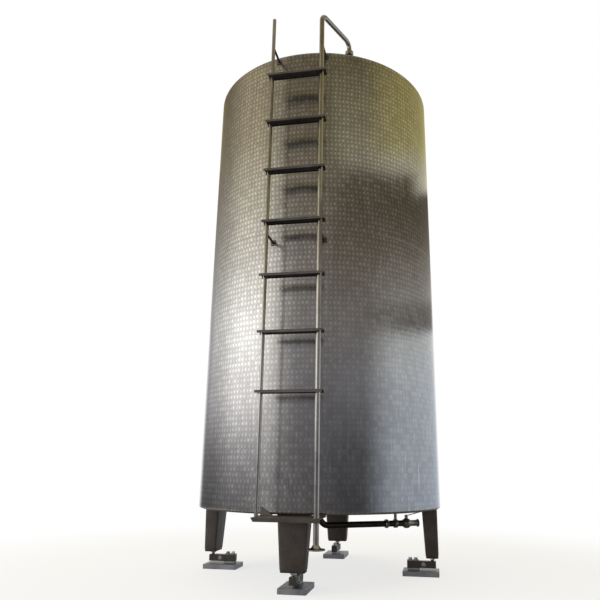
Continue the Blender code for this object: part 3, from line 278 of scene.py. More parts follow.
# %% [markdown]
# ## The floor
# The floor is pale and matt. Where the camera looks at it far from the tank it runs into the white
# backdrop, and near the tank it keeps the soft shadow that grounds the feet. The metal mirrors a plain
# concrete floor instead, which fades out further off, where the room's own low tones take over.

# %% Floor disc
FLOOR_RADIUS = 7.0

shape = bmesh.new()
bmesh.ops.create_circle(shape, cap_ends=True, segments=64, radius=FLOOR_RADIUS)
floor_mesh = bpy.data.meshes.new("floor")
shape.to_mesh(floor_mesh)
shape.free()
floor = bpy.data.objects.new("floor", floor_mesh)
bpy.context.scene.collection.objects.link(floor)
print("floor radius", FLOOR_RADIUS)

# %% Floor material
SHADOW_RADIUS = (1.6, 3.4)
MIRRORED_RADIUS = (1.5, FLOOR_RADIUS)
SEEN_GREY = (0.50, 0.50, 0.50, 1)
SEEN_GLOW = 0.72
CONCRETE = (0.33, 0.33, 0.345, 1)

matt = bpy.data.materials.new("matt_white_floor")
matt.use_nodes = True
paint = matt.node_tree
paint.nodes.clear()
spot = add_node(paint, "ShaderNodeTexCoord").outputs["Object"]
middle = add_node(paint, "ShaderNodeVectorMath", [spot, (0, AXIS_Y, 0)], operation="DISTANCE")
distance = middle.outputs["Value"]
far_off = add_node(paint, "ShaderNodeMapRange", [distance, *SHADOW_RADIUS], **SMOOTH)
lit = add_node(paint, "ShaderNodeBsdfDiffuse", {"Color": SEEN_GREY})
glow = add_node(paint, "ShaderNodeEmission", {"Color": WHITE, "Strength": SEEN_GLOW})
near_floor = add_node(paint, "ShaderNodeAddShader", [lit, glow])
far_floor = add_node(paint, "ShaderNodeEmission", {"Color": WHITE, "Strength": 1.0})
shown_floor = add_node(paint, "ShaderNodeMixShader", [far_off, near_floor, far_floor])
concrete = {"Base Color": CONCRETE, "Roughness": 0.25, "Specular IOR Level": 0.5}
plain_floor = add_node(paint, "ShaderNodeBsdfPrincipled", concrete)
fading = add_node(paint, "ShaderNodeMapRange", [distance, *MIRRORED_RADIUS], **SMOOTH)
clear = add_node(paint, "ShaderNodeBsdfTransparent")
mirrored_floor = add_node(paint, "ShaderNodeMixShader", [fading, plain_floor, clear])
floor_path = add_node(paint, "ShaderNodeLightPath")
straight = [floor_path.outputs["Is Camera Ray"], floor_path.outputs["Is Transmission Ray"]]
floor_seen = add_node(paint, "ShaderNodeMath", straight, operation="MAXIMUM")
floor_mix = add_node(paint, "ShaderNodeMixShader", [floor_seen, mirrored_floor, shown_floor])
add_node(paint, "ShaderNodeOutputMaterial", [floor_mix])
floor.data.materials.append(matt)
bpy.context.scene.view_settings.view_transform = "Standard"
print(matt.name, len(paint.nodes), "nodes")

# %% [markdown]
# ## Steel finishes
# All of the tank's steel is austenitic stainless, but each piece was worked in its own way: the cladding
# is spotted with an abrasive pad, sheet parts are brushed, tube is polished, and the legs keep a dull
# mill finish. The same metal with another roughness and grain reads as another part. One function makes
# the plain finishes: slow blotches between two tones, a fine stretched grain, and a little relief. Real
# grain is a few hundredths of a millimetre wide and real specks of scale are under one millimetre. Both
# are too fine to show, so they are drawn some millimetres wide.

# %% Plain steel finishes
RUB_WIDTH = 1.5 * MILLIMETRE
RUB_RANGE = (0.985, 0.86, 0.0, 0.55)
SPECK_SIZE = 6.25 * MILLIMETRE
SPECK_RANGE = (0.60, 0.72)
BLOTCH_RANGE = (0.32, 0.68)
WEAR_RANGE = (0.7, 1.3)


def finish(name, tones, roughness, grain, relief, metallic=1.0, blotch=120, speckle=0.0, rub_tone="c9c6c0"):
    """tones: two hex colours. grain: its size in mm along X, Y and Z. relief and blotch: mm."""
    material = bpy.data.materials.new(name)
    material.use_nodes = True
    tree = material.node_tree
    surface = tree.nodes["Principled BSDF"]
    surface.inputs["Metallic"].default_value = metallic
    place = add_node(tree, "ShaderNodeTexCoord").outputs["Object"]
    scale = [1 / (size * MILLIMETRE) for size in grain]
    stretched = add_node(tree, "ShaderNodeMapping", {"Vector": place, "Scale": scale})
    fine = add_node(tree, "ShaderNodeTexNoise", {"Vector": stretched, "Scale": 1.0, "Detail": 3.0})
    clouds = {"Vector": place, "Scale": 1 / (blotch * MILLIMETRE), "Detail": 5.0, "Roughness": 0.6}
    slow = add_node(tree, "ShaderNodeTexNoise", clouds)
    shade = add_node(tree, "ShaderNodeMapRange", [slow, *BLOTCH_RANGE])
    dark, light = (linear(tone) for tone in tones)
    colour = add_node(tree, "ShaderNodeMix", {0: shade, 6: dark, 7: light}, **IN_COLOUR)
    if speckle:
        specks = {"Vector": place, "Scale": 1 / SPECK_SIZE, "Detail": 2.0}
        spots = add_node(tree, "ShaderNodeTexNoise", specks)
        hit = add_node(tree, "ShaderNodeMapRange", [spots, *SPECK_RANGE, 0.0, speckle])
        colour = add_node(tree, "ShaderNodeMix", {0: hit, 6: colour, 7: linear("2b2622")}, **IN_COLOUR)
    # Edges are rubbed bright: a rounded normal differs from the true one only near an edge.
    rounded = add_node(tree, "ShaderNodeBevel", {"Radius": RUB_WIDTH}, samples=4).outputs[0]
    facing = add_node(tree, "ShaderNodeNewGeometry").outputs["Normal"]
    apart = add_node(tree, "ShaderNodeVectorMath", [rounded, facing], operation="DOT_PRODUCT")
    rubbed = add_node(tree, "ShaderNodeMapRange", [apart.outputs["Value"], *RUB_RANGE])
    colour = add_node(tree, "ShaderNodeMix", {0: rubbed, 6: colour, 7: linear(rub_tone)}, **IN_COLOUR)
    tree.links.new(colour.outputs[2], surface.inputs["Base Color"])
    wear = add_node(tree, "ShaderNodeMath", [fine.outputs[0], slow.outputs[0]], operation="ADD")
    rough = add_node(tree, "ShaderNodeMapRange", [wear, *WEAR_RANGE, *roughness])
    tree.links.new(rough.outputs["Result"], surface.inputs["Roughness"])
    grooves = {"Height": fine, "Distance": relief * MILLIMETRE, "Strength": 1.0}
    bump = add_node(tree, "ShaderNodeBump", grooves)
    tree.links.new(bump.outputs["Normal"], surface.inputs["Normal"])
    return material


print("edges are rubbed bright over", round(RUB_WIDTH / MILLIMETRE, 1), "mm")

# %% Finish of each kind of piece
# A fine belt grinds the sheet one way: soft streaks, which draw a reflection out across them.
BRUSHED = finish("brushed_stainless_sheet", ("a09d97", "b8b5af"), (0.24, 0.42), (60, 2.5, 2.5), 0.03)
# Tube polished on a wheel: close to a mirror, with faint streaks along its length.
POLISHED = finish("polished_stainless_tube", ("a39f97", "c2beb6"), (0.12, 0.30), (3, 3, 90), 0.02)
# Left as the rolls and the brake made it: grey, cloudy and dull, with dark specks of scale.
MILL = finish("mill_finish_stainless", ("6e6763", "87807a"), (0.38, 0.58), (6, 6, 30), 0.05, speckle=0.35)
# Ground flat on a coarse wheel: pale and evenly dull, so it takes its tone from the lamp.
PLATE = finish("ground_stainless_plate", ("b0b4bc", "dde0e6"), (0.36, 0.55), (5, 40, 5), 0.05, speckle=0.25)
# Drawn tube, never polished: faint streaks and specks. Its dark grey is painted shade for the shade under
# the tank.
PAINTED_SHADE_TUBE = finish("stainless_tube_painted_shade", ("4c4844", "64605a"), (0.22, 0.38), (3, 3, 90), 0.02, speckle=0.2)
# Beads brushed after welding: uneven, and darker than the sheet beside them.
WELD_STEEL = finish("brushed_weld_steel", ("5c5650", "84807a"), (0.28, 0.46), (4, 4, 4), 0.05, speckle=0.3)
# Boots have dulled the treads, streaked along their length. Their mid grey, darker than the sheet, is
# painted shade.
PAINTED_SHADE_TREAD = finish("folded_stainless_tread_painted_shade", ("757073", "918c8c"), (0.34, 0.52), (50, 3, 3), 0.04, speckle=0.25)
# A thin nickel plate on a machined block: a warm grey with blurred reflections.
NICKEL = finish("nickel_plated_load_cell", ("5f5a54", "7c766e"), (0.30, 0.46), (14, 4, 4), 0.03, speckle=0.3)
# Bright zinc plate: pale and a little cold, in small blotches, with clearer reflections.
ZINC = finish("zinc_plated_fastener", ("b0b2b5", "dddfe1"), (0.16, 0.32), (4, 4, 4), 0.03, blotch=25)
# Cut foam: a matt, pale yellow with no reflection to speak of.
FOAM = finish(
    "polyurethane_foam", ("c9a866", "e0c488"), (0.8, 0.95), (6, 6, 6), 0.8, metallic=0.0, blotch=60,
    rub_tone="e8d09a",
)
# Moulded rubber: nearly black, with only a broad dull sheen.
RUBBER = finish(
    "food_grade_rubber", ("24262a", "34363a"), (0.55, 0.75), (5, 5, 5), 0.05, metallic=0.0,
    rub_tone="4a4c50",
)
# Enamel on rough cast iron: blue and half matt, with the casting's grain showing through.
CASTING = finish(
    "painted_gearbox_casting", ("2f4f6e", "3a5f82"), (0.34, 0.50), (3, 3, 3), 0.12, metallic=0.0,
    rub_tone="6d8aa6",
)
print("finishes:", [material.name for material in bpy.data.materials])

# %% [markdown]
# ## The spotted cladding
# The cladding's finish is made by pressing a turning abrasive pad on the sheet, spot beside spot and
# row above row, so each spot laps over the one before it. Two things catch the light. The grooves in
# a spot are circles, so a reflection is smeared away from the spot's centre, and the pad leaves each
# spot very slightly dished. The pattern is worked out from a UV map in metres: the nodes find which
# spot lies on top at a point, and how far across and up that point is from the spot's centre.

# %% Sizes of the spots
# The grooves in a spot are tenths of a millimetre wide, too fine to draw, so they only smear reflections.
SPOT_PITCH = 25.5 * MILLIMETRE
ROW_PITCH = 30.2 * MILLIMETRE
SPOT_RADIUS = 19 * MILLIMETRE
ROW_SHOWN = 0.55
ROW_DRIFT = 0.4 * SPOT_PITCH
SPOT_SLOPE = 0.004
GROOVE_PULL = 0.2
print("spots:", round(2 * pi * TANK_RADIUS / SPOT_PITCH), "round the tank")

# %% The spot on top at a point
SPOTTED = bpy.data.materials.new("circle_spotted_stainless")
SPOTTED.use_nodes = True
tree = SPOTTED.node_tree
sheen = tree.nodes["Principled BSDF"]
uv = add_node(tree, "ShaderNodeUVMap", uv_map="sheet")
flat = add_node(tree, "ShaderNodeSeparateXYZ", [uv])
round_tank, height = flat.outputs["X"], flat.outputs["Y"]
lifted = add_node(tree, "ShaderNodeMath", [height, ROW_SHOWN * ROW_PITCH], operation="ADD")
rows = add_node(tree, "ShaderNodeMath", [lifted, ROW_PITCH], operation="DIVIDE")
row = add_node(tree, "ShaderNodeMath", [rows], operation="FLOOR")
row_height = add_node(tree, "ShaderNodeMath", [row, ROW_PITCH], operation="MULTIPLY")
upper_up = add_node(tree, "ShaderNodeMath", [height, row_height], operation="SUBTRACT")
lower_up = add_node(tree, "ShaderNodeMath", [upper_up, ROW_PITCH], operation="ADD")
lower_row = add_node(tree, "ShaderNodeMath", [row, 1.0], operation="SUBTRACT")


def top_spot(up, row):
    """Across from the spot on top in a row, whether that spot covers the point, and its number."""
    drift = add_node(tree, "ShaderNodeTexWhiteNoise", {"W": row}, noise_dimensions="1D")
    started = {0: drift, 1: ROW_DRIFT, 2: round_tank}
    along_row = add_node(tree, "ShaderNodeMath", started, operation="MULTIPLY_ADD")
    rise_squared = add_node(tree, "ShaderNodeMath", [up, up], operation="MULTIPLY")
    left_over = add_node(tree, "ShaderNodeMath", [SPOT_RADIUS ** 2, rise_squared], operation="SUBTRACT")
    inside = add_node(tree, "ShaderNodeMath", [left_over, 0.0], operation="MAXIMUM")
    reach = add_node(tree, "ShaderNodeMath", [inside], operation="SQRT")
    reached = add_node(tree, "ShaderNodeMath", [along_row, reach], operation="ADD")
    pitches = add_node(tree, "ShaderNodeMath", [reached, SPOT_PITCH], operation="DIVIDE")
    number = add_node(tree, "ShaderNodeMath", [pitches], operation="FLOOR")
    centre = add_node(tree, "ShaderNodeMath", [number, SPOT_PITCH], operation="MULTIPLY")
    across = add_node(tree, "ShaderNodeMath", [along_row, centre], operation="SUBTRACT")
    distance = add_node(tree, "ShaderNodeMath", [across], operation="ABSOLUTE")
    return across, add_node(tree, "ShaderNodeMath", [distance, reach], operation="LESS_THAN"), number


upper_across, covered, upper_number = top_spot(upper_up, row)
lower_across, _, lower_number = top_spot(lower_up, lower_row)
across = add_node(tree, "ShaderNodeMix", {0: covered, 2: lower_across, 3: upper_across})
up = add_node(tree, "ShaderNodeMix", {0: covered, 2: lower_up, 3: upper_up})
number = add_node(tree, "ShaderNodeMix", {0: covered, 2: lower_number, 3: upper_number})
print("nodes that find a spot:", len(tree.nodes))

# %% [markdown]
# ### Light on the spots
# The shader's normal leans outward from the middle of each spot, which dishes it, and its tangent runs
# the same way, because a groove spreads light across itself. Each spot is a little lighter or darker
# than the next. Near its middle a soft white glint is mixed into the colour as a painted highlight,
# fainter away from one middle point of the sheet. Its rim is darkened as painted shade, faded out low down.

# %% Dish and grooves
place = add_node(tree, "ShaderNodeTexCoord").outputs["Object"]
off_axis = add_node(tree, "ShaderNodeVectorMath", [place, (0, AXIS_Y, 0)], operation="SUBTRACT")
parts = add_node(tree, "ShaderNodeSeparateXYZ", [off_axis])
turned_back = add_node(tree, "ShaderNodeMath", [parts.outputs["Y"], -1.0], operation="MULTIPLY")
round_way = add_node(tree, "ShaderNodeCombineXYZ", [turned_back, parts.outputs["X"]])
along = add_node(tree, "ShaderNodeVectorMath", [round_way], operation="NORMALIZE")
sideways = add_node(tree, "ShaderNodeVectorMath", {0: along, 3: across}, operation="SCALE")
upward = add_node(tree, "ShaderNodeCombineXYZ", {"Z": up})
outward = add_node(tree, "ShaderNodeVectorMath", [sideways, upward], operation="ADD")
slope = {0: outward, 3: SPOT_SLOPE / SPOT_RADIUS}
lean = add_node(tree, "ShaderNodeVectorMath", slope, operation="SCALE")
facing = add_node(tree, "ShaderNodeNewGeometry").outputs["Normal"]
leaning = add_node(tree, "ShaderNodeVectorMath", [facing, lean], operation="ADD")
dished = add_node(tree, "ShaderNodeVectorMath", [leaning], operation="NORMALIZE")
grooves = add_node(tree, "ShaderNodeVectorMath", [outward], operation="NORMALIZE")
tree.links.new(dished.outputs[0], sheen.inputs["Normal"])
tree.links.new(grooves.outputs[0], sheen.inputs["Tangent"])
sheen.inputs["Anisotropic"].default_value = GROOVE_PULL
sheen.inputs["Metallic"].default_value = 1.0
print("dish of a spot:", round(SPOT_SLOPE * SPOT_RADIUS / 2 / MILLIMETRE, 3), "mm deep")

# %% Tone of each spot
key = add_node(tree, "ShaderNodeCombineXYZ", [number, row])
chance = add_node(tree, "ShaderNodeTexWhiteNoise", {"Vector": key}, noise_dimensions="2D")
slow = add_node(tree, "ShaderNodeTexNoise", {"Vector": uv, "Scale": 4.0, "Detail": 5.0, "Roughness": 0.6})
own = add_node(tree, "ShaderNodeMath", [chance, 0.5], operation="MULTIPLY")
tone = add_node(tree, "ShaderNodeMath", {0: slow, 1: 0.8, 2: own}, operation="MULTIPLY_ADD")
shade = add_node(tree, "ShaderNodeMapRange", [tone, 0.2, 1.0])
ground = add_node(tree, "ShaderNodeMix", {0: shade, 6: linear("9f9d9a"), 7: linear("b6b4b1")}, **IN_COLOUR)
print("tone nodes:", len(tree.nodes))

# %% Painted glint near the middle of each spot
GLINT_ACROSS = -7.5 * MILLIMETRE
GLINT_UP = -1.5 * MILLIMETRE
GLINT_WIDTH = 8.5 * MILLIMETRE
GLINT_HEIGHT = 12 * MILLIMETRE
GLINT_SCATTER = 5.0 * MILLIMETRE
GLINT_STRENGTH = (0.12, 0.5)
GLINT_FADE_MIDDLE = (0.62, 0.95)
GLINT_FADE_REACH = (0.35, 1.15)

# A painted highlight: a soft white glint mixed into the colour near each spot's middle, fainter away from
# one middle point of the sheet.
scattered = {0: chance, 1: GLINT_SCATTER, 2: -GLINT_SCATTER / 2}
aside = add_node(tree, "ShaderNodeMath", scattered, operation="MULTIPLY_ADD")
aside_x = add_node(tree, "ShaderNodeMath", [across, aside], operation="ADD")
aside_y = add_node(tree, "ShaderNodeMath", [up, aside], operation="SUBTRACT")
from_x = add_node(tree, "ShaderNodeMath", [aside_x, GLINT_ACROSS], operation="SUBTRACT")
from_y = add_node(tree, "ShaderNodeMath", [aside_y, GLINT_UP], operation="SUBTRACT")
glint_x = add_node(tree, "ShaderNodeMath", [from_x, GLINT_WIDTH], operation="DIVIDE")
glint_y = add_node(tree, "ShaderNodeMath", [from_y, GLINT_HEIGHT], operation="DIVIDE")
glint_place = add_node(tree, "ShaderNodeCombineXYZ", [glint_x, glint_y])
glint_far = add_node(tree, "ShaderNodeVectorMath", [glint_place], operation="LENGTH").outputs["Value"]
glint_round = add_node(tree, "ShaderNodeMapRange", [glint_far, 1.15, 0.0], **SMOOTH)
least, more = GLINT_STRENGTH
strength = add_node(tree, "ShaderNodeMath", {0: shade, 1: more, 2: least}, operation="MULTIPLY_ADD")
glint_fade_distance = add_node(tree, "ShaderNodeVectorMath", [uv, (*GLINT_FADE_MIDDLE, 0)], operation="DISTANCE")
glint_fade_way = [glint_fade_distance.outputs["Value"], *GLINT_FADE_REACH, 0.25, 1.0]
glint_fade = add_node(tree, "ShaderNodeMapRange", glint_fade_way, **SMOOTH)
bright = add_node(tree, "ShaderNodeMath", [glint_fade, strength], operation="MULTIPLY")
painted_glint = add_node(tree, "ShaderNodeMath", [glint_round, bright], operation="MULTIPLY")
print("glint nodes:", len(tree.nodes))

# %% Painted shade at the rim of each spot
RIM_SHARE = (0.72, 1.0)
RIM_SHADE_DEPTH = 0.5
RIM_SHADE_FADE = (SHELL_BASE + 0.4, SHELL_BASE + 1.9)

# Painted shade: each spot's rim is darkened, and the darkening fades out towards the bottom of the sheet.
spot_reach = add_node(tree, "ShaderNodeVectorMath", [outward], operation="LENGTH").outputs["Value"]
rim_start, rim_end = RIM_SHARE[0] * SPOT_RADIUS, RIM_SHARE[1] * SPOT_RADIUS
rim_shade_mask = add_node(tree, "ShaderNodeMapRange", [spot_reach, rim_start, rim_end, 0.0, RIM_SHADE_DEPTH])
rim_shade_kept = add_node(tree, "ShaderNodeMapRange", [height, *RIM_SHADE_FADE, 0.08, 1.0], **SMOOTH)
rim = add_node(tree, "ShaderNodeMath", [rim_shade_mask, rim_shade_kept], operation="MULTIPLY")
ringed = add_node(tree, "ShaderNodeMix", {0: rim, 6: ground, 7: linear("5f5c58")}, **IN_COLOUR)
sheet = add_node(tree, "ShaderNodeMix", {0: painted_glint, 6: ringed, 7: WHITE}, **IN_COLOUR)
print("rim nodes:", len(tree.nodes))

# %% [markdown]
# ### Use and cleaning
# Cleaning water leaves long vertical drips below the rim, and brushes and ladders leave short light
# scratches low down. Both are stretched noise: the drips reach down from the top and fade out, and the
# scratches are a thin band of a noise drawn out along a slant. Behind the ladder, splashes and boots
# have dulled a strip of the sheet, so near things are only dimly mirrored there.

# %% Drips and scratches
DRIP_DEPTH = 0.35
MARK_DEPTH = 0.42
MARK_SLANT = radians(38)

drip_scale = {"Vector": uv, "Scale": (38.0, 0.9, 1.0)}
drip_place = add_node(tree, "ShaderNodeMapping", drip_scale)
drips = add_node(tree, "ShaderNodeTexNoise", {"Vector": drip_place, "Scale": 1.0, "Detail": 4.0})
drip_mask = add_node(tree, "ShaderNodeMapRange", [drips, 0.55, 0.72, 0.0, DRIP_DEPTH])
drip_fade = add_node(tree, "ShaderNodeMapRange", [height, SHELL_BASE + 1.2, SHELL_TOP - 0.3])
drip = add_node(tree, "ShaderNodeMath", [drip_mask, drip_fade], operation="MULTIPLY")
dirty = add_node(tree, "ShaderNodeMix", {0: drip, 6: sheet, 7: linear("6d675c")}, **IN_COLOUR)
slanted = {"Vector": uv, "Rotation": (0, 0, MARK_SLANT), "Scale": (60.0, 5.0, 1.0)}
slant = add_node(tree, "ShaderNodeMapping", slanted)
marks = add_node(tree, "ShaderNodeTexNoise", {"Vector": slant, "Scale": 1.0, "Detail": 3.0})
mark_mask = add_node(tree, "ShaderNodeMapRange", [marks, 0.62, 0.70, 0.0, MARK_DEPTH])
mark_fade = add_node(tree, "ShaderNodeMapRange", [height, SHELL_BASE + 1.1, SHELL_BASE + 0.3])
mark = add_node(tree, "ShaderNodeMath", [mark_mask, mark_fade], operation="MULTIPLY")
worn = add_node(tree, "ShaderNodeMix", {0: mark, 6: dirty, 7: linear("e6e6e8")}, **IN_COLOUR)
tree.links.new(worn.outputs[2], sheen.inputs["Base Color"])
print("drip and scratch nodes:", len(tree.nodes))

# %% Gloss, and the strip behind the ladder
SHEET_ROUGHNESS = (0.07, 0.12)
CLIMBED_STRIP = (0.32, 0.12)
CLIMBED_DULLING = 0.15

sheet_rough = add_node(tree, "ShaderNodeMapRange", [tone, 0.2, 1.0, *SHEET_ROUGHNESS])
off_ladder = add_node(tree, "ShaderNodeMath", [round_tank], operation="ABSOLUTE")
climbed = [off_ladder, *CLIMBED_STRIP, 0.0, CLIMBED_DULLING]
dulled = add_node(tree, "ShaderNodeMapRange", climbed, **SMOOTH)
rough = add_node(tree, "ShaderNodeMath", [sheet_rough, dulled], operation="ADD")
tree.links.new(rough.outputs[0], sheen.inputs["Roughness"])
print(SPOTTED.name, len(tree.nodes), "nodes")

# %% [markdown]
# ## How pieces are built
# Most parts of a tank are either turned, bent from tube, or folded from sheet. All of them are rings of
# points joined one to the next, so every builder ends in the same one. Each adds its shape to one bmesh,
# which lets a piece be put together from several shapes before it becomes an object. A finished piece
# takes its body from the frame's node that it stands for.

# %% Rings and turned shapes
def add_rings(shape, rings, loop=False):
    """Joins rings of points with the same count, and caps the two ends or joins last to first."""
    made = [[shape.verts.new(point) for point in ring] for ring in rings]
    pairs = list(zip(made, made[1:])) + ([(made[-1], made[0])] if loop else [])
    count = len(made[0])
    for first, second in pairs:
        for i in range(count):
            shape.faces.new((first[i], first[(i + 1) % count], second[(i + 1) % count], second[i]))
    if not loop:
        shape.faces.new(made[0])
        shape.faces.new(made[-1])


def add_turned(shape, profile, place=Matrix(), steps=64, loop=True, notches=(0, 0, 0)):
    """Turns (radius, height) points about the place's Z. notches: count, width in steps, depth."""
    count, wide, deep = notches
    largest = max(radius for radius, _ in profile)
    rings = []
    for radius, height in profile:
        ring = []
        for step in range(steps):
            notched = count and step % (steps // count) < wide and radius > largest - 2 * deep
            reach = max(radius - (deep if notched else 0), 1e-5)
            a = 2 * pi * step / steps
            ring.append(place @ Vector((reach * cos(a), reach * sin(a), height)))
        rings.append(ring)
    add_rings(shape, rings, loop)


def in_millimetres(profile):
    return [(radius * MILLIMETRE, height * MILLIMETRE) for radius, height in profile]


def arc(centre, radius, start, end, count):
    """Points of a profile on an arc, angles in degrees."""
    angles = [radians(start + (end - start) * i / (count - 1)) for i in range(count)]
    return [(centre[0] + radius * cos(a), centre[1] + radius * sin(a)) for a in angles]


trial = bmesh.new()
add_turned(trial, in_millimetres([(10, 0), (12, 0), (12, 5), (10, 5)]))
print("a turned ring has", len(trial.faces), "faces")
trial.free()

# %% Objects from shapes
CORNER_ANGLE = radians(40)


def plain(piece):
    """The same piece as a plain mesh, with its modifiers worked into it."""
    graph = bpy.context.evaluated_depsgraph_get()
    mesh = bpy.data.meshes.new_from_object(piece.evaluated_get(graph))
    piece.modifiers.clear()
    piece.data = mesh
    return piece


def object_from(name, shape, edge=0.0, smooth=35):
    """An object at the origin from a bmesh. edge rounds its corners, as a press or a file would."""
    bmesh.ops.remove_doubles(shape, verts=shape.verts, dist=2e-5)
    bmesh.ops.recalc_face_normals(shape, faces=shape.faces)
    mesh = bpy.data.meshes.new(name)
    shape.to_mesh(mesh)
    shape.free()
    mesh.shade_smooth()
    mesh.set_sharp_from_angle(angle=radians(smooth))
    piece = bpy.data.objects.new(name, mesh)
    bpy.context.scene.collection.objects.link(piece)
    if edge:
        rounding = piece.modifiers.new("rounded edges", "BEVEL")
        rounding.width, rounding.segments = edge, 2
        rounding.limit_method, rounding.angle_limit = "ANGLE", CORNER_ANGLE
        rounding.harden_normals = True
        piece = plain(piece)
    return piece


print("corners are rounded over", degrees(CORNER_ANGLE), "degrees")

# %% Finished pieces
SLOTS = {subpart["material_slot"] for subpart in frame["record"]["subparts"]}


def keep(piece, material, slot_name, *nodes, body=None):
    """Finishes a piece: its material, the body it rides on and the nodes it stands for. slot_name is not
    used.
    """
    piece.data.materials.clear()
    piece.data.materials.append(material)
    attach(piece, body or frame["nodes"][nodes[0]]["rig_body"])
    if nodes:
        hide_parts(*nodes)
    print(piece.name, len(piece.data.polygons), "faces")
    return piece


print("slots to fill:", ", ".join(sorted(SLOTS)))

# %% [markdown]
# ## Cladding
# The cladding is 2 mm sheet rolled into a cylinder, with its top and bottom edges turned in over a
# 12 mm radius. It is turned here in many steps, so that no facets show in its outline. Two courses of
# sheet meet in a butt joint, which shows as a fine groove round the tank.

# %% Cladding
CLADDING_STEPS = 320
EDGE = 12 * MILLIMETRE
LIP = 16 * MILLIMETRE
SHEET = 2 * MILLIMETRE
JOINT_HEIGHT = SHELL_BASE + 0.565 * (SHELL_TOP - SHELL_BASE)
JOINT_GROOVE = 0.7 * MILLIMETRE
CLADDING_RADIUS = TANK_RADIUS - 0.6 * MILLIMETRE
TANK_AXIS = Matrix.Translation((0, AXIS_Y, 0))

bend = CLADDING_RADIUS - EDGE
wall_top, wall_low = SHELL_TOP - EDGE, SHELL_BASE + EDGE
outline = [(CLADDING_RADIUS - LIP, SHELL_TOP)] + arc((bend, wall_top), EDGE, 90, 0, 7)
outline.append((CLADDING_RADIUS, wall_top - JOINT_GROOVE))
for step in (4, 2, 1, 0, -1, -2, -4):
    depth = 0 if step else JOINT_GROOVE / 2
    outline.append((CLADDING_RADIUS - depth, JOINT_HEIGHT + step * JOINT_GROOVE))
outline.append((CLADDING_RADIUS, wall_low + JOINT_GROOVE))
outline += arc((bend, wall_low), EDGE, 0, -90, 7)
outline += [(CLADDING_RADIUS - LIP, SHELL_BASE), (CLADDING_RADIUS - LIP, SHELL_BASE + SHEET)]
outline += arc((bend, wall_low), EDGE - SHEET, -90, 0, 4)
outline += arc((bend, wall_top), EDGE - SHEET, 0, 90, 4)
outline += [(CLADDING_RADIUS - LIP, SHELL_TOP - SHEET)]
shape = bmesh.new()
add_turned(shape, outline, TANK_AXIS, CLADDING_STEPS)
cladding = object_from("shell_cladding", shape)


def unroll(piece):
    """A UV map in metres: the way round the tank, and the height."""
    layer = piece.data.uv_layers.new(name="sheet")
    points = piece.data.vertices
    for face in piece.data.polygons:
        places = [points[piece.data.loops[loop].vertex_index].co for loop in face.loop_indices]
        turns = [atan2(place.x, AXIS_Y - place.y) for place in places]
        if max(turns) - min(turns) > pi:
            turns = [a + 2 * pi if a < 0 else a for a in turns]
        for loop, a, place in zip(face.loop_indices, turns, places):
            layer.data[loop].uv = (a * TANK_RADIUS, place.z)


unroll(cladding)
keep(cladding, SPOTTED, "cladding", "outer_shell")

# %% [markdown]
# ## Legs
# Each leg is folded from 5 mm sheet into a tapered box with rounded corners, its outer face upright and
# a thick sole welded in at the bottom. Folding leaves soft corners, so the leg is lofted between two
# rounded rectangles rather than cut from a block.

# %% A frame at each leg
SIDES = {"front": 0, "right": 90, "rear": 180, "left": 270}
LEG_CORNER = 11 * MILLIMETRE
SOLE = 12 * MILLIMETRE
SOLE_STEP = 1.5 * MILLIMETRE

leg_low, leg_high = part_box("leg_right")
LEG_FACE = leg_high.x
LEG_TOP_SIZE = (leg_high.x - leg_low.x, leg_high.y - leg_low.y)
LEG_FOOT_SIZE = (LEG_TOP_SIZE[0] * 75 / 90, LEG_TOP_SIZE[1] * 132 / 172)


def side_frame(side):
    """A frame on the tank's axis whose +X points out through that side's leg."""
    return TANK_AXIS @ Matrix.Rotation(radians(SIDES[side] - 90), 4, "Z")


def rounded_rectangle(low, high, corner, height, steps=6):
    """Points round a rectangle with rounded corners, at one height."""
    centres = [
        (high[0] - corner, high[1] - corner, 0), (low[0] + corner, high[1] - corner, 90),
        (low[0] + corner, low[1] + corner, 180), (high[0] - corner, low[1] + corner, 270),
    ]
    points = []
    for x, y, start in centres:
        points += [(*point, height) for point in arc((x, y), corner, start, start + 90, steps)]
    return points


def leg_ring(height, step=0.0):
    """The outline of the right-hand leg at one height, drawn in by a step."""
    share = (height - leg_low.z) / (leg_high.z - leg_low.z)
    depth, width = (foot + (top - foot) * share for foot, top in zip(LEG_FOOT_SIZE, LEG_TOP_SIZE))
    low = (LEG_FACE - depth + step, -width / 2 + step)
    return rounded_rectangle(low, (LEG_FACE - step, width / 2 - step), LEG_CORNER, height)


print("leg at the top:", [round(size, 3) for size in LEG_TOP_SIZE])

# %% Legs
for side in SIDES:
    place = side_frame(side)
    sole_top = leg_low.z + SOLE
    rings = [
        leg_ring(leg_low.z, 1.2 * SOLE_STEP), leg_ring(leg_low.z + SOLE_STEP / 2, SOLE_STEP),
        leg_ring(sole_top, SOLE_STEP), leg_ring(sole_top + SOLE_STEP, 0), leg_ring(leg_high.z),
    ]
    shape = bmesh.new()
    add_rings(shape, [[place @ Vector(point) for point in ring] for ring in rings])
    keep(object_from(f"folded_leg_{side}", shape), MILL, "leg_steel", f"leg_{side}")

# %% [markdown]
# ## Weigh feet
# Under each leg stands a weigh foot: a thick base plate, a load-cell beam bolted down at its inner end,
# and a threaded spindle that carries the leg on the beam's outer end. The tank is weighed by how far the
# beams bend, so nothing but the spindle touches the free end.

# %% Base plates
PLATE_EDGE = 2.5 * MILLIMETRE

base_low, base_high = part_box("base_plate_right")
beam_low, beam_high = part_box("load_cell_right")
bolts_low, bolts_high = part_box("clamp_bolts_right")
spindle_low, spindle_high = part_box("spindle_right")
SPACER_BASE = 28 * MILLIMETRE
HALF_BEAM = (beam_high.y - beam_low.y) / 2
BASE_HALF = (base_high.y - base_low.y) / 2


def add_block(shape, low, high, place=Matrix()):
    low, high = Vector(low), Vector(high)
    middle = Matrix.Translation((low + high) / 2)
    size = Matrix.Diagonal((*(high - low), 1))
    bmesh.ops.create_cube(shape, size=1, matrix=place @ middle @ size)


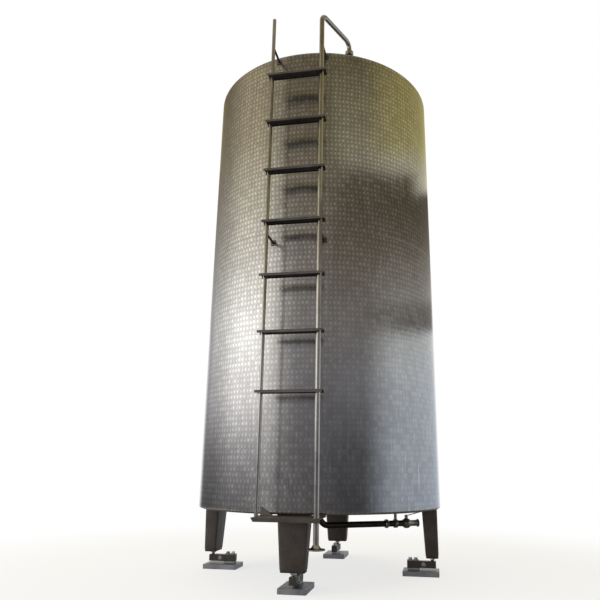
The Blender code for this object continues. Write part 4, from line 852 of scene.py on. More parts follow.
def make_base(side):
    shape, place = bmesh.new(), side_frame(side)
    add_block(shape, (base_low.x, -BASE_HALF, 0), (base_high.x, BASE_HALF, SPACER_BASE), place)
    spacer_end = bolts_high.x + 3 * MILLIMETRE
    add_block(shape, (beam_low.x, -HALF_BEAM, SPACER_BASE), (spacer_end, HALF_BEAM, base_high.z), place)
    keep(object_from(f"foot_plate_{side}", shape, PLATE_EDGE), PLATE, "leg_steel", f"base_plate_{side}")


print("base plate", round(2 * BASE_HALF, 3), "m wide, beam", round(2 * HALF_BEAM, 3), "m wide")

# %% Load-cell beams
GAUGE_COVER = in_millimetres([(0, 0.6), (9, 0.6), (10, 1.4), (12, 1.1), (12, -1), (0, -1)])
GAUGE_AHEAD = 12 * MILLIMETRE


def make_beam(side):
    """The beam, and on each of its cheeks the round cover that seals in its strain gauges."""
    shape, place = bmesh.new(), side_frame(side)
    add_block(shape, (beam_low.x, -HALF_BEAM, beam_low.z), (beam_high.x, HALF_BEAM, beam_high.z), place)
    middle = (beam_low.x + beam_high.x) / 2 + GAUGE_AHEAD
    height = (beam_low.z + beam_high.z) / 2
    beam = object_from(f"weigh_beam_{side}", shape, 1.5 * MILLIMETRE)
    keep(beam, NICKEL, "load_cell", f"load_cell_{side}")
    shape = bmesh.new()
    for cheek in (-1, 1):
        upright = Matrix.Translation((middle, cheek * (HALF_BEAM - 0.5 * MILLIMETRE), height))
        facing = place @ upright @ Matrix.Rotation(-cheek * pi / 2, 4, "X")
        add_turned(shape, GAUGE_COVER, facing, 40, loop=False)
    cover = object_from(f"gauge_cover_{side}", shape)
    keep(cover, ZINC, "load_cell", body=f"{side}_foot")


print("gauge cover", round(2 * max(GAUGE_COVER)[0], 3), "m across")

# %% Clamp bolts
BOLT_RADIUS = 6.5 * MILLIMETRE
BOLT_HEAD = 11.5 * MILLIMETRE
BOLT_SPREAD = 16.5 * MILLIMETRE
WASHER = 14 * MILLIMETRE
WASHER_EDGE, WASHER_TOP = 1.6 * MILLIMETRE, 2.2 * MILLIMETRE
WASHER_BEVEL = 0.8 * MILLIMETRE
STRAP = 6 * MILLIMETRE
STRAP_CORNER = 4 * MILLIMETRE
STRAP_BEVEL = 1.2 * MILLIMETRE


def add_hexagon(shape, radius, low, high, place, dome=0.25):
    """A hexagonal head whose upper corners are turned off, as on a real bolt or nut."""
    flat, cut = radius * cos(pi / 6), (high - low) * dome
    rings = []
    for height, limit in ((low, radius), (high - cut, radius), (high, flat * 0.98)):
        ring = []
        for step in range(48):
            a = 2 * pi * step / 48
            side = flat / cos((a + pi / 6) % (pi / 3) - pi / 6)
            reach = min(side, limit)
            ring.append(place @ Vector((reach * cos(a), reach * sin(a), height)))
        rings.append(ring)
    add_rings(shape, rings)


def make_clamp(side):
    """A strap over the beam's inner end, with a washer and a bolt at each side of its middle."""
    shape, place = bmesh.new(), side_frame(side)
    inset = 2 * MILLIMETRE
    strap_low, strap_high = beam_high.z + 0.3 * MILLIMETRE, beam_high.z + STRAP
    low = (bolts_low.x, -HALF_BEAM + inset)
    high = (bolts_high.x, HALF_BEAM - inset)
    rings = []
    for height, step in ((strap_low, 0), (strap_high - STRAP_BEVEL, 0), (strap_high, STRAP_BEVEL)):
        near, far = (low[0] + step, low[1] + step), (high[0] - step, high[1] - step)
        ring = rounded_rectangle(near, far, STRAP_CORNER, height)
        rings.append([place @ Vector(point) for point in ring])
    add_rings(shape, rings)
    middle = (bolts_low.x + bolts_high.x) / 2
    edge, top = strap_high + WASHER_EDGE, strap_high + WASHER_TOP
    for number, along in enumerate((-BOLT_SPREAD, BOLT_SPREAD)):
        turn = Matrix.Rotation(radians(17 + 23 * number), 4, "Z")
        bolt = place @ Matrix.Translation((middle + along, 0, 0)) @ turn
        washer = [(WASHER, strap_high), (WASHER, edge), (WASHER - WASHER_BEVEL, top), (0, top)]
        add_turned(shape, washer + [(0, strap_high)], bolt, 40, loop=False)
        add_hexagon(shape, BOLT_HEAD, strap_high + 2 * MILLIMETRE, bolts_high.z, bolt, 0.3)
        shank = [(BOLT_RADIUS, bolts_low.z), (BOLT_RADIUS, strap_low), (0, strap_low), (0, bolts_low.z)]
        add_turned(shape, shank, bolt, 24, loop=False)
    clamp = object_from(f"beam_clamp_{side}", shape)
    keep(clamp, ZINC, "fastener", f"clamp_bolts_{side}")


print("strap", round(bolts_high.x - bolts_low.x, 3), "m long")

# %% [markdown]
# ### A real screw thread
# A thread follows one rule, so Geometry Nodes make it: a spiral curve with a small diamond swept along
# it. The inputs are the rod's radius, the pitch and the length, and the result is a plain mesh that is
# joined to the rod.

# %% Thread tree
def new_tree(name, sizes):
    """A Geometry Nodes tree with a geometry socket in and out, and these named sizes."""
    tree = bpy.data.node_groups.new(name, "GeometryNodeTree")
    tree.interface.new_socket("Geometry", in_out="INPUT", socket_type="NodeSocketGeometry")
    tree.interface.new_socket("Geometry", in_out="OUTPUT", socket_type="NodeSocketGeometry")
    for size, kind in sizes.items():
        tree.interface.new_socket(size, in_out="INPUT", socket_type=f"NodeSocket{kind}")
    return tree, add_node(tree, "NodeGroupInput").outputs


def finish_tree(tree, geometry, sizes):
    """Realises the instances, sets the material and joins the tree's output."""
    real = add_node(tree, "GeometryNodeRealizeInstances", {"Geometry": geometry})
    dressed = {"Geometry": real.outputs[0], "Material": sizes["Material"]}
    painted = add_node(tree, "GeometryNodeSetMaterial", dressed)
    add_node(tree, "NodeGroupOutput", {0: painted.outputs[0]})
    return tree


def thread_tree():
    tree, sizes = new_tree("screw_thread", {
        "Radius": "Float", "Pitch": "Float", "Length": "Float", "Material": "Material",
    })
    turns = add_node(tree, "ShaderNodeMath", {0: sizes["Length"], 1: sizes["Pitch"]}, operation="DIVIDE")
    spiral = add_node(tree, "GeometryNodeCurveSpiral", {
        "Resolution": 28, "Rotations": turns.outputs[0], "Start Radius": sizes["Radius"],
        "End Radius": sizes["Radius"], "Height": sizes["Length"],
    })
    depth = add_node(tree, "ShaderNodeMath", {0: sizes["Pitch"], 1: 0.48}, operation="MULTIPLY")
    diamond = {"Resolution": 4, "Radius": depth.outputs[0]}
    ridge = add_node(tree, "GeometryNodeCurvePrimitiveCircle", diamond)
    swept = add_node(tree, "GeometryNodeCurveToMesh", {
        "Curve": spiral.outputs[0], "Profile Curve": ridge.outputs[0], "Fill Caps": True,
    })
    return finish_tree(tree, swept.outputs[0], sizes)


THREAD = thread_tree()
print(THREAD.name, len(THREAD.nodes), "nodes")

# %% Spindles
ROD_RADIUS = 10 * MILLIMETRE
THREAD_PITCH = 2.5 * MILLIMETRE
HEX_RADIUS = 17 * MILLIMETRE
NUT_HEIGHT = 11 * MILLIMETRE


def grow(name, tree, values, base=None):
    """Runs a tree on a mesh, or on nothing, and returns the plain result."""
    mesh = base or bpy.data.meshes.new(name)
    piece = bpy.data.objects.new(name, mesh)
    bpy.context.scene.collection.objects.link(piece)
    growth = piece.modifiers.new(name, "NODES")
    growth.node_group = tree
    for socket in tree.interface.items_tree:
        if socket.in_out == "INPUT" and socket.name in values:
            growth[socket.identifier] = values[socket.name]
    return plain(piece)


def make_spindle(side):
    """A threaded rod with its ridge, a plain shank inside the leg, and a nut under the leg's sole."""
    place = side_frame(side) @ Matrix.Translation(((spindle_low.x + spindle_high.x) / 2, 0, 0))
    core = ROD_RADIUS - 0.45 * THREAD_PITCH
    length = leg_low.z - spindle_low.z - 3 * MILLIMETRE
    values = {"Radius": core, "Pitch": THREAD_PITCH, "Length": length, "Material": ZINC}
    ridge = grow(f"thread_{side}", THREAD, values)
    ridge.data.transform(place @ Matrix.Translation((0, 0, spindle_low.z + 1 * MILLIMETRE)))
    shape = bmesh.new()
    shape.from_mesh(ridge.data)
    bpy.data.objects.remove(ridge)
    low, sole, high = spindle_low.z, leg_low.z, spindle_high.z
    rod = [(core, low), (core, sole), (ROD_RADIUS, sole), (ROD_RADIUS, high), (0, high), (0, low)]
    add_turned(shape, rod, place, 32, loop=False)
    nut_high = leg_low.z - 0.3 * MILLIMETRE
    add_hexagon(shape, HEX_RADIUS, nut_high - NUT_HEIGHT, nut_high, place, 0.15)
    keep(object_from(f"levelling_spindle_{side}", shape), ZINC, "fastener", f"spindle_{side}")


print("thread", THREAD_PITCH, "m in pitch on a rod", 2 * ROD_RADIUS, "m thick")

# %% Four feet
for side in SIDES:
    make_base(side)
    make_beam(side)
    make_clamp(side)
    make_spindle(side)

# %% [markdown]
# ## Ladder
# The left stile is a plain tube with its top closed. The right one is the wash pipe: it starts in a
# flared clamp ferrule near the floor, climbs as a stile, and bends over the roof to its union. The treads
# are folded channels with their lips down, so from the floor they show as a shadowed trough.

# %% Stiles
STILE_EDGE = 2 * MILLIMETRE
WASH_RADIUS = 14.5 * MILLIMETRE
WASH_BEND = 45 * MILLIMETRE
TUBE_STEPS = 28

stile_low, stile_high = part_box("left_stile")
wash_low, wash_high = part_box("wash_pipe")
nut_low, nut_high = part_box("union_nut")
STILE_X = -(stile_low.x + stile_high.x) / 2
STILE_Y = (stile_low.y + stile_high.y) / 2
STILE_RADIUS = (stile_high.x - stile_low.x) / 2
FERRULE_RADIUS = STILE_Y - wash_low.y
NOZZLE = Vector(((nut_low.x + nut_high.x) / 2, (nut_low.y + nut_high.y) / 2, 0))

shape = bmesh.new()
cap = arc((STILE_RADIUS - STILE_EDGE, stile_high.z - STILE_EDGE), STILE_EDGE, 0, 90, 4)
post = [(0, stile_low.z), (STILE_RADIUS, stile_low.z)] + cap + [(0, stile_high.z)]
add_turned(shape, post, Matrix.Translation((-STILE_X, STILE_Y, 0)), TUBE_STEPS, loop=False)
keep(object_from("ladder_stile", shape), POLISHED, "tube_steel", "left_stile")

# %% Bent tube
def rounded_path(points, radius, count=12):
    """The path through these points with each corner bent to this radius."""
    points = [Vector(point) for point in points]
    path = [points[0]]
    for before, corner, after in zip(points, points[1:], points[2:]):
        back, ahead = (before - corner).normalized(), (after - corner).normalized()
        half = back.angle(ahead) / 2
        middle = corner + (back + ahead).normalized() * (radius / sin(half))
        start = corner + back * (radius / tan(half))
        turn = back.cross(ahead).normalized()
        for i in range(count):
            spin = Matrix.Rotation(-(pi - 2 * half) * i / (count - 1), 3, turn)
            path.append(middle + spin @ (start - middle))
    return path + [points[-1]]


def add_tube(shape, path, radius, sides=24):
    """A round bar along a path of points, with its ends closed."""
    path = [Vector(point) for point in path]
    ahead = [(after - before).normalized() for before, after in zip(path, path[1:])]
    ahead = [ahead[0]] + [(a + b).normalized() for a, b in zip(ahead, ahead[1:])] + [ahead[-1]]
    across = ahead[0].orthogonal().normalized()
    rings = []
    for point, direction in zip(path, ahead):
        across = (across - direction * across.dot(direction)).normalized()
        other = direction.cross(across)
        angles = [2 * pi * i / sides for i in range(sides)]
        rings.append([point + (across * cos(a) + other * sin(a)) * radius for a in angles])
    add_rings(shape, rings)


corner = rounded_path([(0, 0, 0), (0, 0, 1), (1, 0, 1)], WASH_BEND)
print("a square bend takes", len(corner) - 2, "points")

# %% Wash pipe
RUN_HEIGHT = wash_high.z - WASH_RADIUS
UNION_JOINT = (nut_low.z + nut_high.z) / 2 + 2 * MILLIMETRE
FERRULE = 6 * MILLIMETRE
FERRULE_BEVEL = 1 * MILLIMETRE
FLARE = 18 * MILLIMETRE
FLARE_NECK = 0.74 * FERRULE_RADIUS
COLLAR = in_millimetres([(18.5, 0), (18.5, 5), (17.5, 6), (14, 6), (14, 0)])

shape = bmesh.new()
run = rounded_path([
    (STILE_X, STILE_Y, wash_low.z + 1 * MILLIMETRE), (STILE_X, STILE_Y, RUN_HEIGHT),
    (NOZZLE.x, NOZZLE.y, RUN_HEIGHT), (NOZZLE.x, NOZZLE.y, UNION_JOINT),
], WASH_BEND)
add_tube(shape, run, WASH_RADIUS, TUBE_STEPS)
flare_low = wash_low.z + FERRULE
horn = [(FERRULE_RADIUS - FERRULE_BEVEL, wash_low.z), (FERRULE_RADIUS, wash_low.z + FERRULE_BEVEL)]
upper = 1.5 * FERRULE_BEVEL
horn += [(FERRULE_RADIUS, flare_low - upper), (FERRULE_RADIUS - upper, flare_low)]
for share in (0.0, 0.15, 0.35, 0.6, 1.0):
    narrow = FLARE_NECK + (WASH_RADIUS - FLARE_NECK) * share ** 0.55
    horn.append((narrow + 0.4 * MILLIMETRE, flare_low + FLARE * share))
bore = WASH_RADIUS - 2 * MILLIMETRE
horn += [(bore, flare_low + FLARE), (bore, wash_low.z)]
add_turned(shape, horn, Matrix.Translation((STILE_X, STILE_Y, 0)), 48)
collar_place = Matrix.Translation((NOZZLE.x, NOZZLE.y, UNION_JOINT - 2 * MILLIMETRE))
add_turned(shape, COLLAR, collar_place, 40)
keep(object_from("wash_pipe_run", shape), POLISHED, "tube_steel", "wash_pipe")

# %% Union nut
NUT_RADIUS = (nut_high.x - nut_low.x) / 2
NUT_EDGE = 2.5 * MILLIMETRE
NUT_BORE = WASH_RADIUS + 1 * MILLIMETRE

shape = bmesh.new()
bevel = NUT_RADIUS - NUT_EDGE
nut = [(bevel, nut_high.z), (NUT_RADIUS, nut_high.z - NUT_EDGE), (NUT_RADIUS, nut_low.z + NUT_EDGE)]
nut += [(bevel, nut_low.z), (NUT_BORE, nut_low.z), (NUT_BORE, nut_high.z)]
add_turned(shape, nut, Matrix.Translation(NOZZLE), 72, notches=(6, 3, 3 * MILLIMETRE))
keep(object_from("slotted_union_nut", shape), ZINC, "fastener", "union_nut")

# %% [markdown]
# ### Treads
# A tread is a strip folded into a shallow channel. The profile is drawn once, with its folds rounded,
# and drawn out along the ladder's width. Rows of pressed grip buttons stand on top, placed by Geometry
# Nodes on a grid.

# %% Tread channel
TREAD_SHEET = 2 * MILLIMETRE
TREAD_FOLD = 4 * MILLIMETRE

tread_low, tread_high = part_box("tread_1")
TREAD_HALF = (tread_high.y - tread_low.y) / 2
TREAD_LIP = tread_high.z - tread_low.z
TREAD_END = tread_high.x


def channel(half, lip, sheet, fold):
    """Half the profile of a channel with its lips down, from the front lip over the top to the back."""
    outer = [(-half, -lip)] + arc((-half + fold, -fold), fold, 180, 90, 5)
    outer += arc((half - fold, -fold), fold, 90, 0, 5) + [(half, -lip)]
    near = half - sheet
    inner = [(near, -lip)] + arc((near - fold + sheet, -fold), fold - sheet, 0, 90, 4)
    inner += arc((-near + fold - sheet, -fold), fold - sheet, 90, 180, 4) + [(-near, -lip)]
    return outer + inner


profile = channel(TREAD_HALF, TREAD_LIP, TREAD_SHEET, TREAD_FOLD)
print("channel profile:", len(profile), "points")

# %% Grip tree
def grip_tree():
    """Rows of low buttons on a grid."""
    tree, sizes = new_tree("grip_buttons", {
        "Length": "Float", "Width": "Float", "Along": "Int", "Across": "Int", "Radius": "Float",
        "Height": "Float", "Material": "Material",
    })
    grid = add_node(tree, "GeometryNodeMeshGrid", {
        "Size X": sizes["Length"], "Size Y": sizes["Width"], "Vertices X": sizes["Along"],
        "Vertices Y": sizes["Across"],
    })
    top = add_node(tree, "ShaderNodeMath", {0: sizes["Radius"], 1: 0.5}, operation="MULTIPLY")
    button = add_node(tree, "GeometryNodeMeshCone", {
        "Vertices": 10, "Radius Top": top.outputs[0], "Radius Bottom": sizes["Radius"],
        "Depth": sizes["Height"],
    })
    placed = add_node(tree, "GeometryNodeInstanceOnPoints", {
        "Points": grid.outputs[0], "Instance": button.outputs[0],
    })
    return finish_tree(tree, placed.outputs[0], sizes)


GRIP = grip_tree()
print(GRIP.name, len(GRIP.nodes), "nodes")

# %% Treads
GRIP_SUNK = 0.2 * MILLIMETRE

# The treads' darker grey is painted shade.
button_sizes = {
    "Length": 2 * STILE_X - 0.05, "Width": TREAD_HALF, "Along": 12, "Across": 3, "Radius": 4 * MILLIMETRE,
    "Height": 1.6 * MILLIMETRE, "Material": PAINTED_SHADE_TREAD,
}
buttons = grow("grip_buttons", GRIP, button_sizes)
for number in range(1, 8):
    low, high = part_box(f"tread_{number}")
    top = Vector((0, (low.y + high.y) / 2, high.z))
    shape = bmesh.new()
    shape.from_mesh(buttons.data)
    bmesh.ops.translate(shape, verts=shape.verts, vec=top - Vector((0, 0, GRIP_SUNK)))
    add_rings(shape, [[top + Vector((end, y, z)) for y, z in profile] for end in (-TREAD_END, TREAD_END)])
    keep(object_from(f"ladder_tread_{number}", shape, smooth=30), PAINTED_SHADE_TREAD, "satin_steel", f"tread_{number}")
bpy.data.objects.remove(buttons)

# %% Stand-offs
PAD_LAYERS = in_millimetres([(4, 0), (-2, 0), (-4, 1.5)])
PAD_CORNER = 5 * MILLIMETRE
BAR_RADIUS = 7 * MILLIMETRE

for level in ("lower", "upper"):
    for hand, x, radius in (("left", -STILE_X, STILE_RADIUS), ("right", STILE_X, WASH_RADIUS)):
        name = f"standoff_{level}_{hand}"
        low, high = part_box(name)
        height = (low.z + high.z) / 2
        shape = bmesh.new()
        pad = (high.x - low.x) / 2
        skin = AXIS_Y - sqrt(CLADDING_RADIUS ** 2 - x ** 2)
        lean = Matrix.Translation((x, skin, height)) @ Matrix.Rotation(asin(x / TANK_RADIUS), 4, "Z")
        rings = []
        for depth, step in PAD_LAYERS:
            ring = rounded_rectangle((-pad + step, -pad + step), (pad - step, pad - step), PAD_CORNER, 0)
            rings.append([lean @ Vector((px, depth, pz)) for px, pz, _ in ring])
        add_rings(shape, rings)
        start = STILE_Y + radius - 2 * MILLIMETRE
        add_tube(shape, [(x, start, height), (x, skin - MILLIMETRE, height)], BAR_RADIUS, 20)
        keep(object_from(name + "_bar", shape), MILL, "satin_steel", name)

# %% [markdown]
# ### Foot bracket
# The ladder's foot stands on a folded plate held by the front leg: a lip runs along its front, one end
# of the lip is mitred, and two gussets brace it to the cladding. Each sheet is an outline drawn once and
# given its thickness.

# %% Foot bracket
BRACKET_SHEET = 4 * MILLIMETRE
GUSSET_RUN = 72 * MILLIMETRE
GUSSET_RISE = 40 * MILLIMETRE
GUSSET_SHEET = 3 * MILLIMETRE
GUSSET_TIP = 0.88
MITRE = 12 * MILLIMETRE

bracket_low, bracket_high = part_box("foot_bracket")
BRACKET_TOP = bracket_high.z - GUSSET_RISE
BRACKET_LIP = BRACKET_TOP - bracket_low.z


def add_sheet(shape, outline, thickness, place):
    """A flat outline in the place's XY plane, given a thickness to both sides of it."""
    half = Vector((0, 0, thickness / 2))
    rings = [[place @ (Vector((*point, 0)) + side * half) for point in outline] for side in (-1, 1)]
    add_rings(shape, rings)


shape = bmesh.new()
end = bracket_high.x
add_block(shape, (-end, bracket_low.y, BRACKET_TOP - BRACKET_SHEET), (end, bracket_high.y, BRACKET_TOP))
half = BRACKET_SHEET / 2
upright = Matrix.Translation((0, bracket_low.y + half, BRACKET_TOP)) @ Matrix.Rotation(pi / 2, 4, "X")
lip = [(-end + MITRE, -BRACKET_LIP), (end, -BRACKET_LIP), (end, -half), (-end, -half)]
add_sheet(shape, lip, BRACKET_SHEET, upright)
gusset_turn = asin((end - GUSSET_RUN / 2) / TANK_RADIUS)
gusset_radius = TANK_RADIUS + GUSSET_SHEET
for hand, rise in ((-1, GUSSET_RISE), (1, GUSSET_RISE * 0.35)):
    aside, ahead = gusset_radius * sin(gusset_turn) * hand, gusset_radius * cos(gusset_turn)
    spot = (aside, AXIS_Y - ahead, BRACKET_TOP)
    turn = Matrix.Rotation(gusset_turn * hand, 4, "Z") @ Matrix.Rotation(pi / 2, 4, "X")
    half = GUSSET_RUN / 2 * hand
    triangle = [(half, -MILLIMETRE), (half, rise), (half * GUSSET_TIP, rise), (-half, 3 * MILLIMETRE)]
    triangle.append((-half, -MILLIMETRE))
    add_sheet(shape, triangle, GUSSET_SHEET, Matrix.Translation(spot) @ turn)
keep(object_from("ladder_foot_bracket", shape, 0.8 * MILLIMETRE), MILL, "satin_steel", "foot_bracket")

# %% [markdown]
# ## Outlet
# The outlet leaves the tank's lowest point, bends, and runs out level to a butterfly valve, held by a
# strap under the cladding. Everything on it is turned about the pipe, so one frame lying along the pipe
# places all of it: its X runs along the pipe and its origin is on the tank's axis.

# %% Outlet pipe
OUTLET_AZIMUTH = 120
OUTLET_HEIGHT = 263 * MILLIMETRE
OUTLET_RADIUS = 19 * MILLIMETRE
OUTLET_BEND = 57 * MILLIMETRE
VALVE_AT = 0.605
VALVE_HALF = 25 * MILLIMETRE

outlet = TANK_AXIS @ Matrix.Rotation(radians(OUTLET_AZIMUTH - 90), 4, "Z")
pipe_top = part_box("outlet_pipe")[1].z


def along_outlet(at):
    """A place on the pipe's centre whose Z runs outward along the pipe."""
    return outlet @ Matrix.Translation((at, 0, OUTLET_HEIGHT)) @ Matrix.Rotation(pi / 2, 4, "Y")


shape = bmesh.new()
route = [(0, 0, pipe_top), (0, 0, OUTLET_HEIGHT), (VALVE_AT - VALVE_HALF, 0, OUTLET_HEIGHT)]
add_tube(shape, [outlet @ point for point in rounded_path(route, OUTLET_BEND, 16)], OUTLET_RADIUS, 32)
# The outlet's dark grey finish is painted shade.
keep(object_from("outlet_line", shape), PAINTED_SHADE_TUBE, "tube_steel", "outlet_pipe")

# %% Coupling
COUPLING_AT = 0.460

shape = bmesh.new()
coupling = in_millimetres([
    (24, 10), (27, 7), (27, 2), (25, 1), (25, -1), (27, -2), (27, -7), (24, -10), (19.2, -10), (19.2, 10),
])
add_turned(shape, coupling, along_outlet(COUPLING_AT), 48)
keep(object_from("outlet_coupling", shape), ZINC, "fastener", "pipe_coupling")

# %% Hanger
HANGER_AT = 0.525
HANGER_WIDTH = 20 * MILLIMETRE
HANGER_SHEET = 4 * MILLIMETRE
BAND_RADIUS = 27 * MILLIMETRE
BAND_BORE = OUTLET_RADIUS + 0.3 * MILLIMETRE
PAD_HALF = (22.5 * MILLIMETRE, 20 * MILLIMETRE)

hanger_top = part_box("outlet_hanger")[1].z
shape = bmesh.new()
half = HANGER_WIDTH / 2
band = [(BAND_BORE, -half), (BAND_RADIUS, -half), (BAND_RADIUS, half), (BAND_BORE, half)]
add_turned(shape, band, along_outlet(HANGER_AT), 48)
strap_low, thin = OUTLET_HEIGHT + BAND_RADIUS - HANGER_SHEET, HANGER_SHEET / 2
add_block(shape, (HANGER_AT - half, -thin, strap_low), (HANGER_AT + half, thin, hanger_top), outlet)
along, across = PAD_HALF
pad_low = (HANGER_AT - along, -across, hanger_top - HANGER_SHEET)
add_block(shape, pad_low, (HANGER_AT + along, across, hanger_top), outlet)
keep(object_from("outlet_strap", shape, 0.8 * MILLIMETRE), BRUSHED, "satin_steel", "outlet_hanger")

# %% Butterfly valve
valve_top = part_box("valve_body")[1].z
shape = bmesh.new()
body = in_millimetres([
    (17.5, -25), (23, -25), (23.5, -24), (24, -20), (30, -12), (31, -10), (31, -1.6), (29, -0.8),
    (29, 0.8), (31, 1.6), (31, 10), (30, 12), (24, 20), (23.5, 24), (21, 26), (19, 29), (19, 79),
    (20, 80.5), (25.2, 82), (25.2, 84.6), (24.6, 85), (17.5, 85),
])
add_turned(shape, body, along_outlet(VALVE_AT), 56)
stem_place = outlet @ Matrix.Translation((VALVE_AT, 0, 0))
boss_top = valve_top / MILLIMETRE
boss = in_millimetres([
    (6.4, boss_top - 17), (13, boss_top - 17), (11, boss_top - 8), (11, boss_top - 1.5), (9.5, boss_top),
    (6.4, boss_top),
])
add_turned(shape, boss, stem_place, 32)
for along, across in ((-6.75, 26), (6.75, 26), (-6.75, -26), (6.75, -26)):
    bolt = along_outlet(VALVE_AT + along * MILLIMETRE) @ Matrix.Translation((0, across * MILLIMETRE, 0))
    add_hexagon(shape, 3.6 * MILLIMETRE, -7 * MILLIMETRE, 7 * MILLIMETRE, bolt)
keep(object_from("butterfly_valve", shape), BRUSHED, "satin_steel", "valve_body")

# %% Valve lever
LEVER_LENGTH, LEVER_WIDTH, LEVER_THICKNESS = 0.135, 0.018, 0.005
LEVER_RISE = 30 * MILLIMETRE
LEVER_START = 7 * MILLIMETRE

lever_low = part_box("valve_lever")[0].z
lever_place = stem_place @ Matrix.Translation((0, 0, lever_low))
shape = bmesh.new()
hub = in_millimetres([(5.4, 0), (12, 0), (13, 1), (13, 6), (12, 8), (5.4, 8)])
add_turned(shape, hub, lever_place, 32)
tilt = atan2(LEVER_RISE, LEVER_LENGTH)
arm_low = 5.5 * MILLIMETRE
arm = lever_place @ Matrix.Translation((LEVER_START, 0, arm_low)) @ Matrix.Rotation(-tilt, 4, "Y")
half = LEVER_WIDTH / 2
side_line = [(0.004, half * 0.7), (0.030, half * 0.62), (0.060, half)]
blade = [(x, -y) for x, y in side_line] + [(LEVER_LENGTH - half, -half)]
blade += arc((LEVER_LENGTH - half, 0), half, -90, 90, 9)[1:] + side_line[::-1]
add_sheet(shape, blade, LEVER_THICKNESS * 0.9, arm)
keep(object_from("valve_handle", shape, 0.8 * MILLIMETRE), ZINC, "fastener", "valve_lever")

# %% [markdown]
# ## Roof equipment
# From the floor only the wash pipe's end is seen. A milk tank of this kind also has a manhole with a
# hinged lid, an agitator with its gear motor, and a vent, so the roof carries a generic set of them.
# Necks, lids and caps are spun or turned from sheet, and they are turned here the same way.

# %% Manhole
neck_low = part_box("manhole_neck")[0]
gasket_low, gasket_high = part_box("lid_gasket")
lid_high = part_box("manhole_lid")[1]
pin_low, pin_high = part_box("hinge_pin")
handle_low, handle_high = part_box("lid_handle")
MANHOLE_Y = (gasket_low.y + gasket_high.y) / 2
RIM_RADIUS = gasket_high.x
MOUTH_RADIUS = RIM_RADIUS - 13 * MILLIMETRE
RIM_TOP = gasket_low.z - 0.3 * MILLIMETRE
LID_RADIUS = lid_high.x
PIN = (pin_low + pin_high) / 2
CURL = 1.5 * MILLIMETRE
NECK_FILLET = 3 * MILLIMETRE
manhole = Matrix.Translation((0, MANHOLE_Y, 0))

shape = bmesh.new()
wall, below = MOUTH_RADIUS + 3 * MILLIMETRE, RIM_TOP - 2 * NECK_FILLET
neck = [(MOUTH_RADIUS, neck_low.z), (wall, neck_low.z), (wall, below)]
neck += arc((wall + NECK_FILLET, below), NECK_FILLET, 180, 90, 4)[1:]
neck += arc((RIM_RADIUS - CURL, RIM_TOP - CURL), CURL, -90, 90, 5)
neck += [(MOUTH_RADIUS + MILLIMETRE, RIM_TOP), (MOUTH_RADIUS, RIM_TOP - MILLIMETRE)]
add_turned(shape, neck, manhole, 128)
EAR = 5 * MILLIMETRE
EAR_INSIDE = 15.3 * MILLIMETRE
EAR_SHELF, EAR_FOOT = -18 * MILLIMETRE, -44 * MILLIMETRE
KNUCKLE = 10 * MILLIMETRE
for hand in (-1, 1):
    reach, root = PIN.y - MANHOLE_Y, wall - MILLIMETRE
    ear = [(root, EAR_FOOT), (reach + KNUCKLE, EAR_SHELF)] + arc((reach, 0), KNUCKLE, 0, 180, 9)
    ear += [(reach - KNUCKLE, EAR_SHELF), (root, EAR_SHELF)]
    x = hand * (EAR_INSIDE + EAR / 2)
    turn = Matrix.Rotation(pi / 2, 4, "Z") @ Matrix.Rotation(pi / 2, 4, "X")
    add_sheet(shape, ear, EAR, Matrix.Translation((x, MANHOLE_Y, PIN.z)) @ turn)
keep(object_from("manhole_rim", shape), BRUSHED, "satin_steel", "manhole_neck")

# %% Lid
LID_SHEET = 2 * MILLIMETRE
LID_RIM = 14 * MILLIMETRE
LID_CROWN = 8 * MILLIMETRE
LID_FOLD = 3 * MILLIMETRE
CROWN = ((0.25, 0.97), (0.5, 0.87), (0.7, 0.62), (0.82, 0.3), (0.9, 0.06))
PIN_BORE = 5.4 * MILLIMETRE

shape = bmesh.new()
lid_base = gasket_high.z + 0.3 * MILLIMETRE
lid_top = lid_base + LID_SHEET
crown = lid_top + LID_CROWN
inside, hem = LID_RADIUS - LID_SHEET, lid_top - LID_RIM
profile = [(0, crown)] + [(RIM_RADIUS * share, lid_top + LID_CROWN * rise) for share, rise in CROWN]
profile += [(LID_RADIUS - LID_FOLD - MILLIMETRE, lid_top)]
profile += arc((LID_RADIUS - LID_FOLD, lid_top - LID_FOLD), LID_FOLD, 80, 0, 4)
profile += [(LID_RADIUS, hem), (inside, hem), (inside, lid_base)]
profile += [(RIM_RADIUS * share, lid_base + LID_CROWN * rise) for share, rise in CROWN[::-1]]
profile += [(0, crown - LID_SHEET)]
add_turned(shape, profile, manhole, 128, loop=False)
lying = Matrix.Translation(PIN) @ Matrix.Rotation(pi / 2, 4, "Y")
half = 13 * MILLIMETRE
barrel = [(PIN_BORE, -half), (KNUCKLE, -half), (KNUCKLE, half), (PIN_BORE, half)]
add_turned(shape, barrel, lying, 32)
leaf = [(-half, MANHOLE_Y + LID_RADIUS - 0.005, PIN.z - 0.0015), (half, PIN.y - 0.006, PIN.z + 0.0015)]
add_block(shape, *leaf)
keep(object_from("manhole_cover_lid", shape), BRUSHED, "satin_steel", "manhole_lid")

# %% Gasket
shape = bmesh.new()
seal_low, seal_high, seal_round = gasket_low.z, gasket_high.z, RIM_RADIUS - MILLIMETRE
seal = [(MOUTH_RADIUS, seal_low), (seal_round, seal_low), (RIM_RADIUS, seal_low + MILLIMETRE)]
seal += [(RIM_RADIUS, seal_high - MILLIMETRE), (seal_round, seal_high), (MOUTH_RADIUS, seal_high)]
add_turned(shape, seal, manhole, 96)
keep(object_from("lid_seal", shape), RUBBER, "rubber", "lid_gasket")

# %% Lid handle
GRIP_RADIUS = 6 * MILLIMETRE
GRIP_BEND = 18 * MILLIMETRE
GRIP_FLANGE = in_millimetres([(11, 0.2), (11, 2.2), (9, 3.2), (6, 3.6), (5, 3.6), (5, 0.2)])

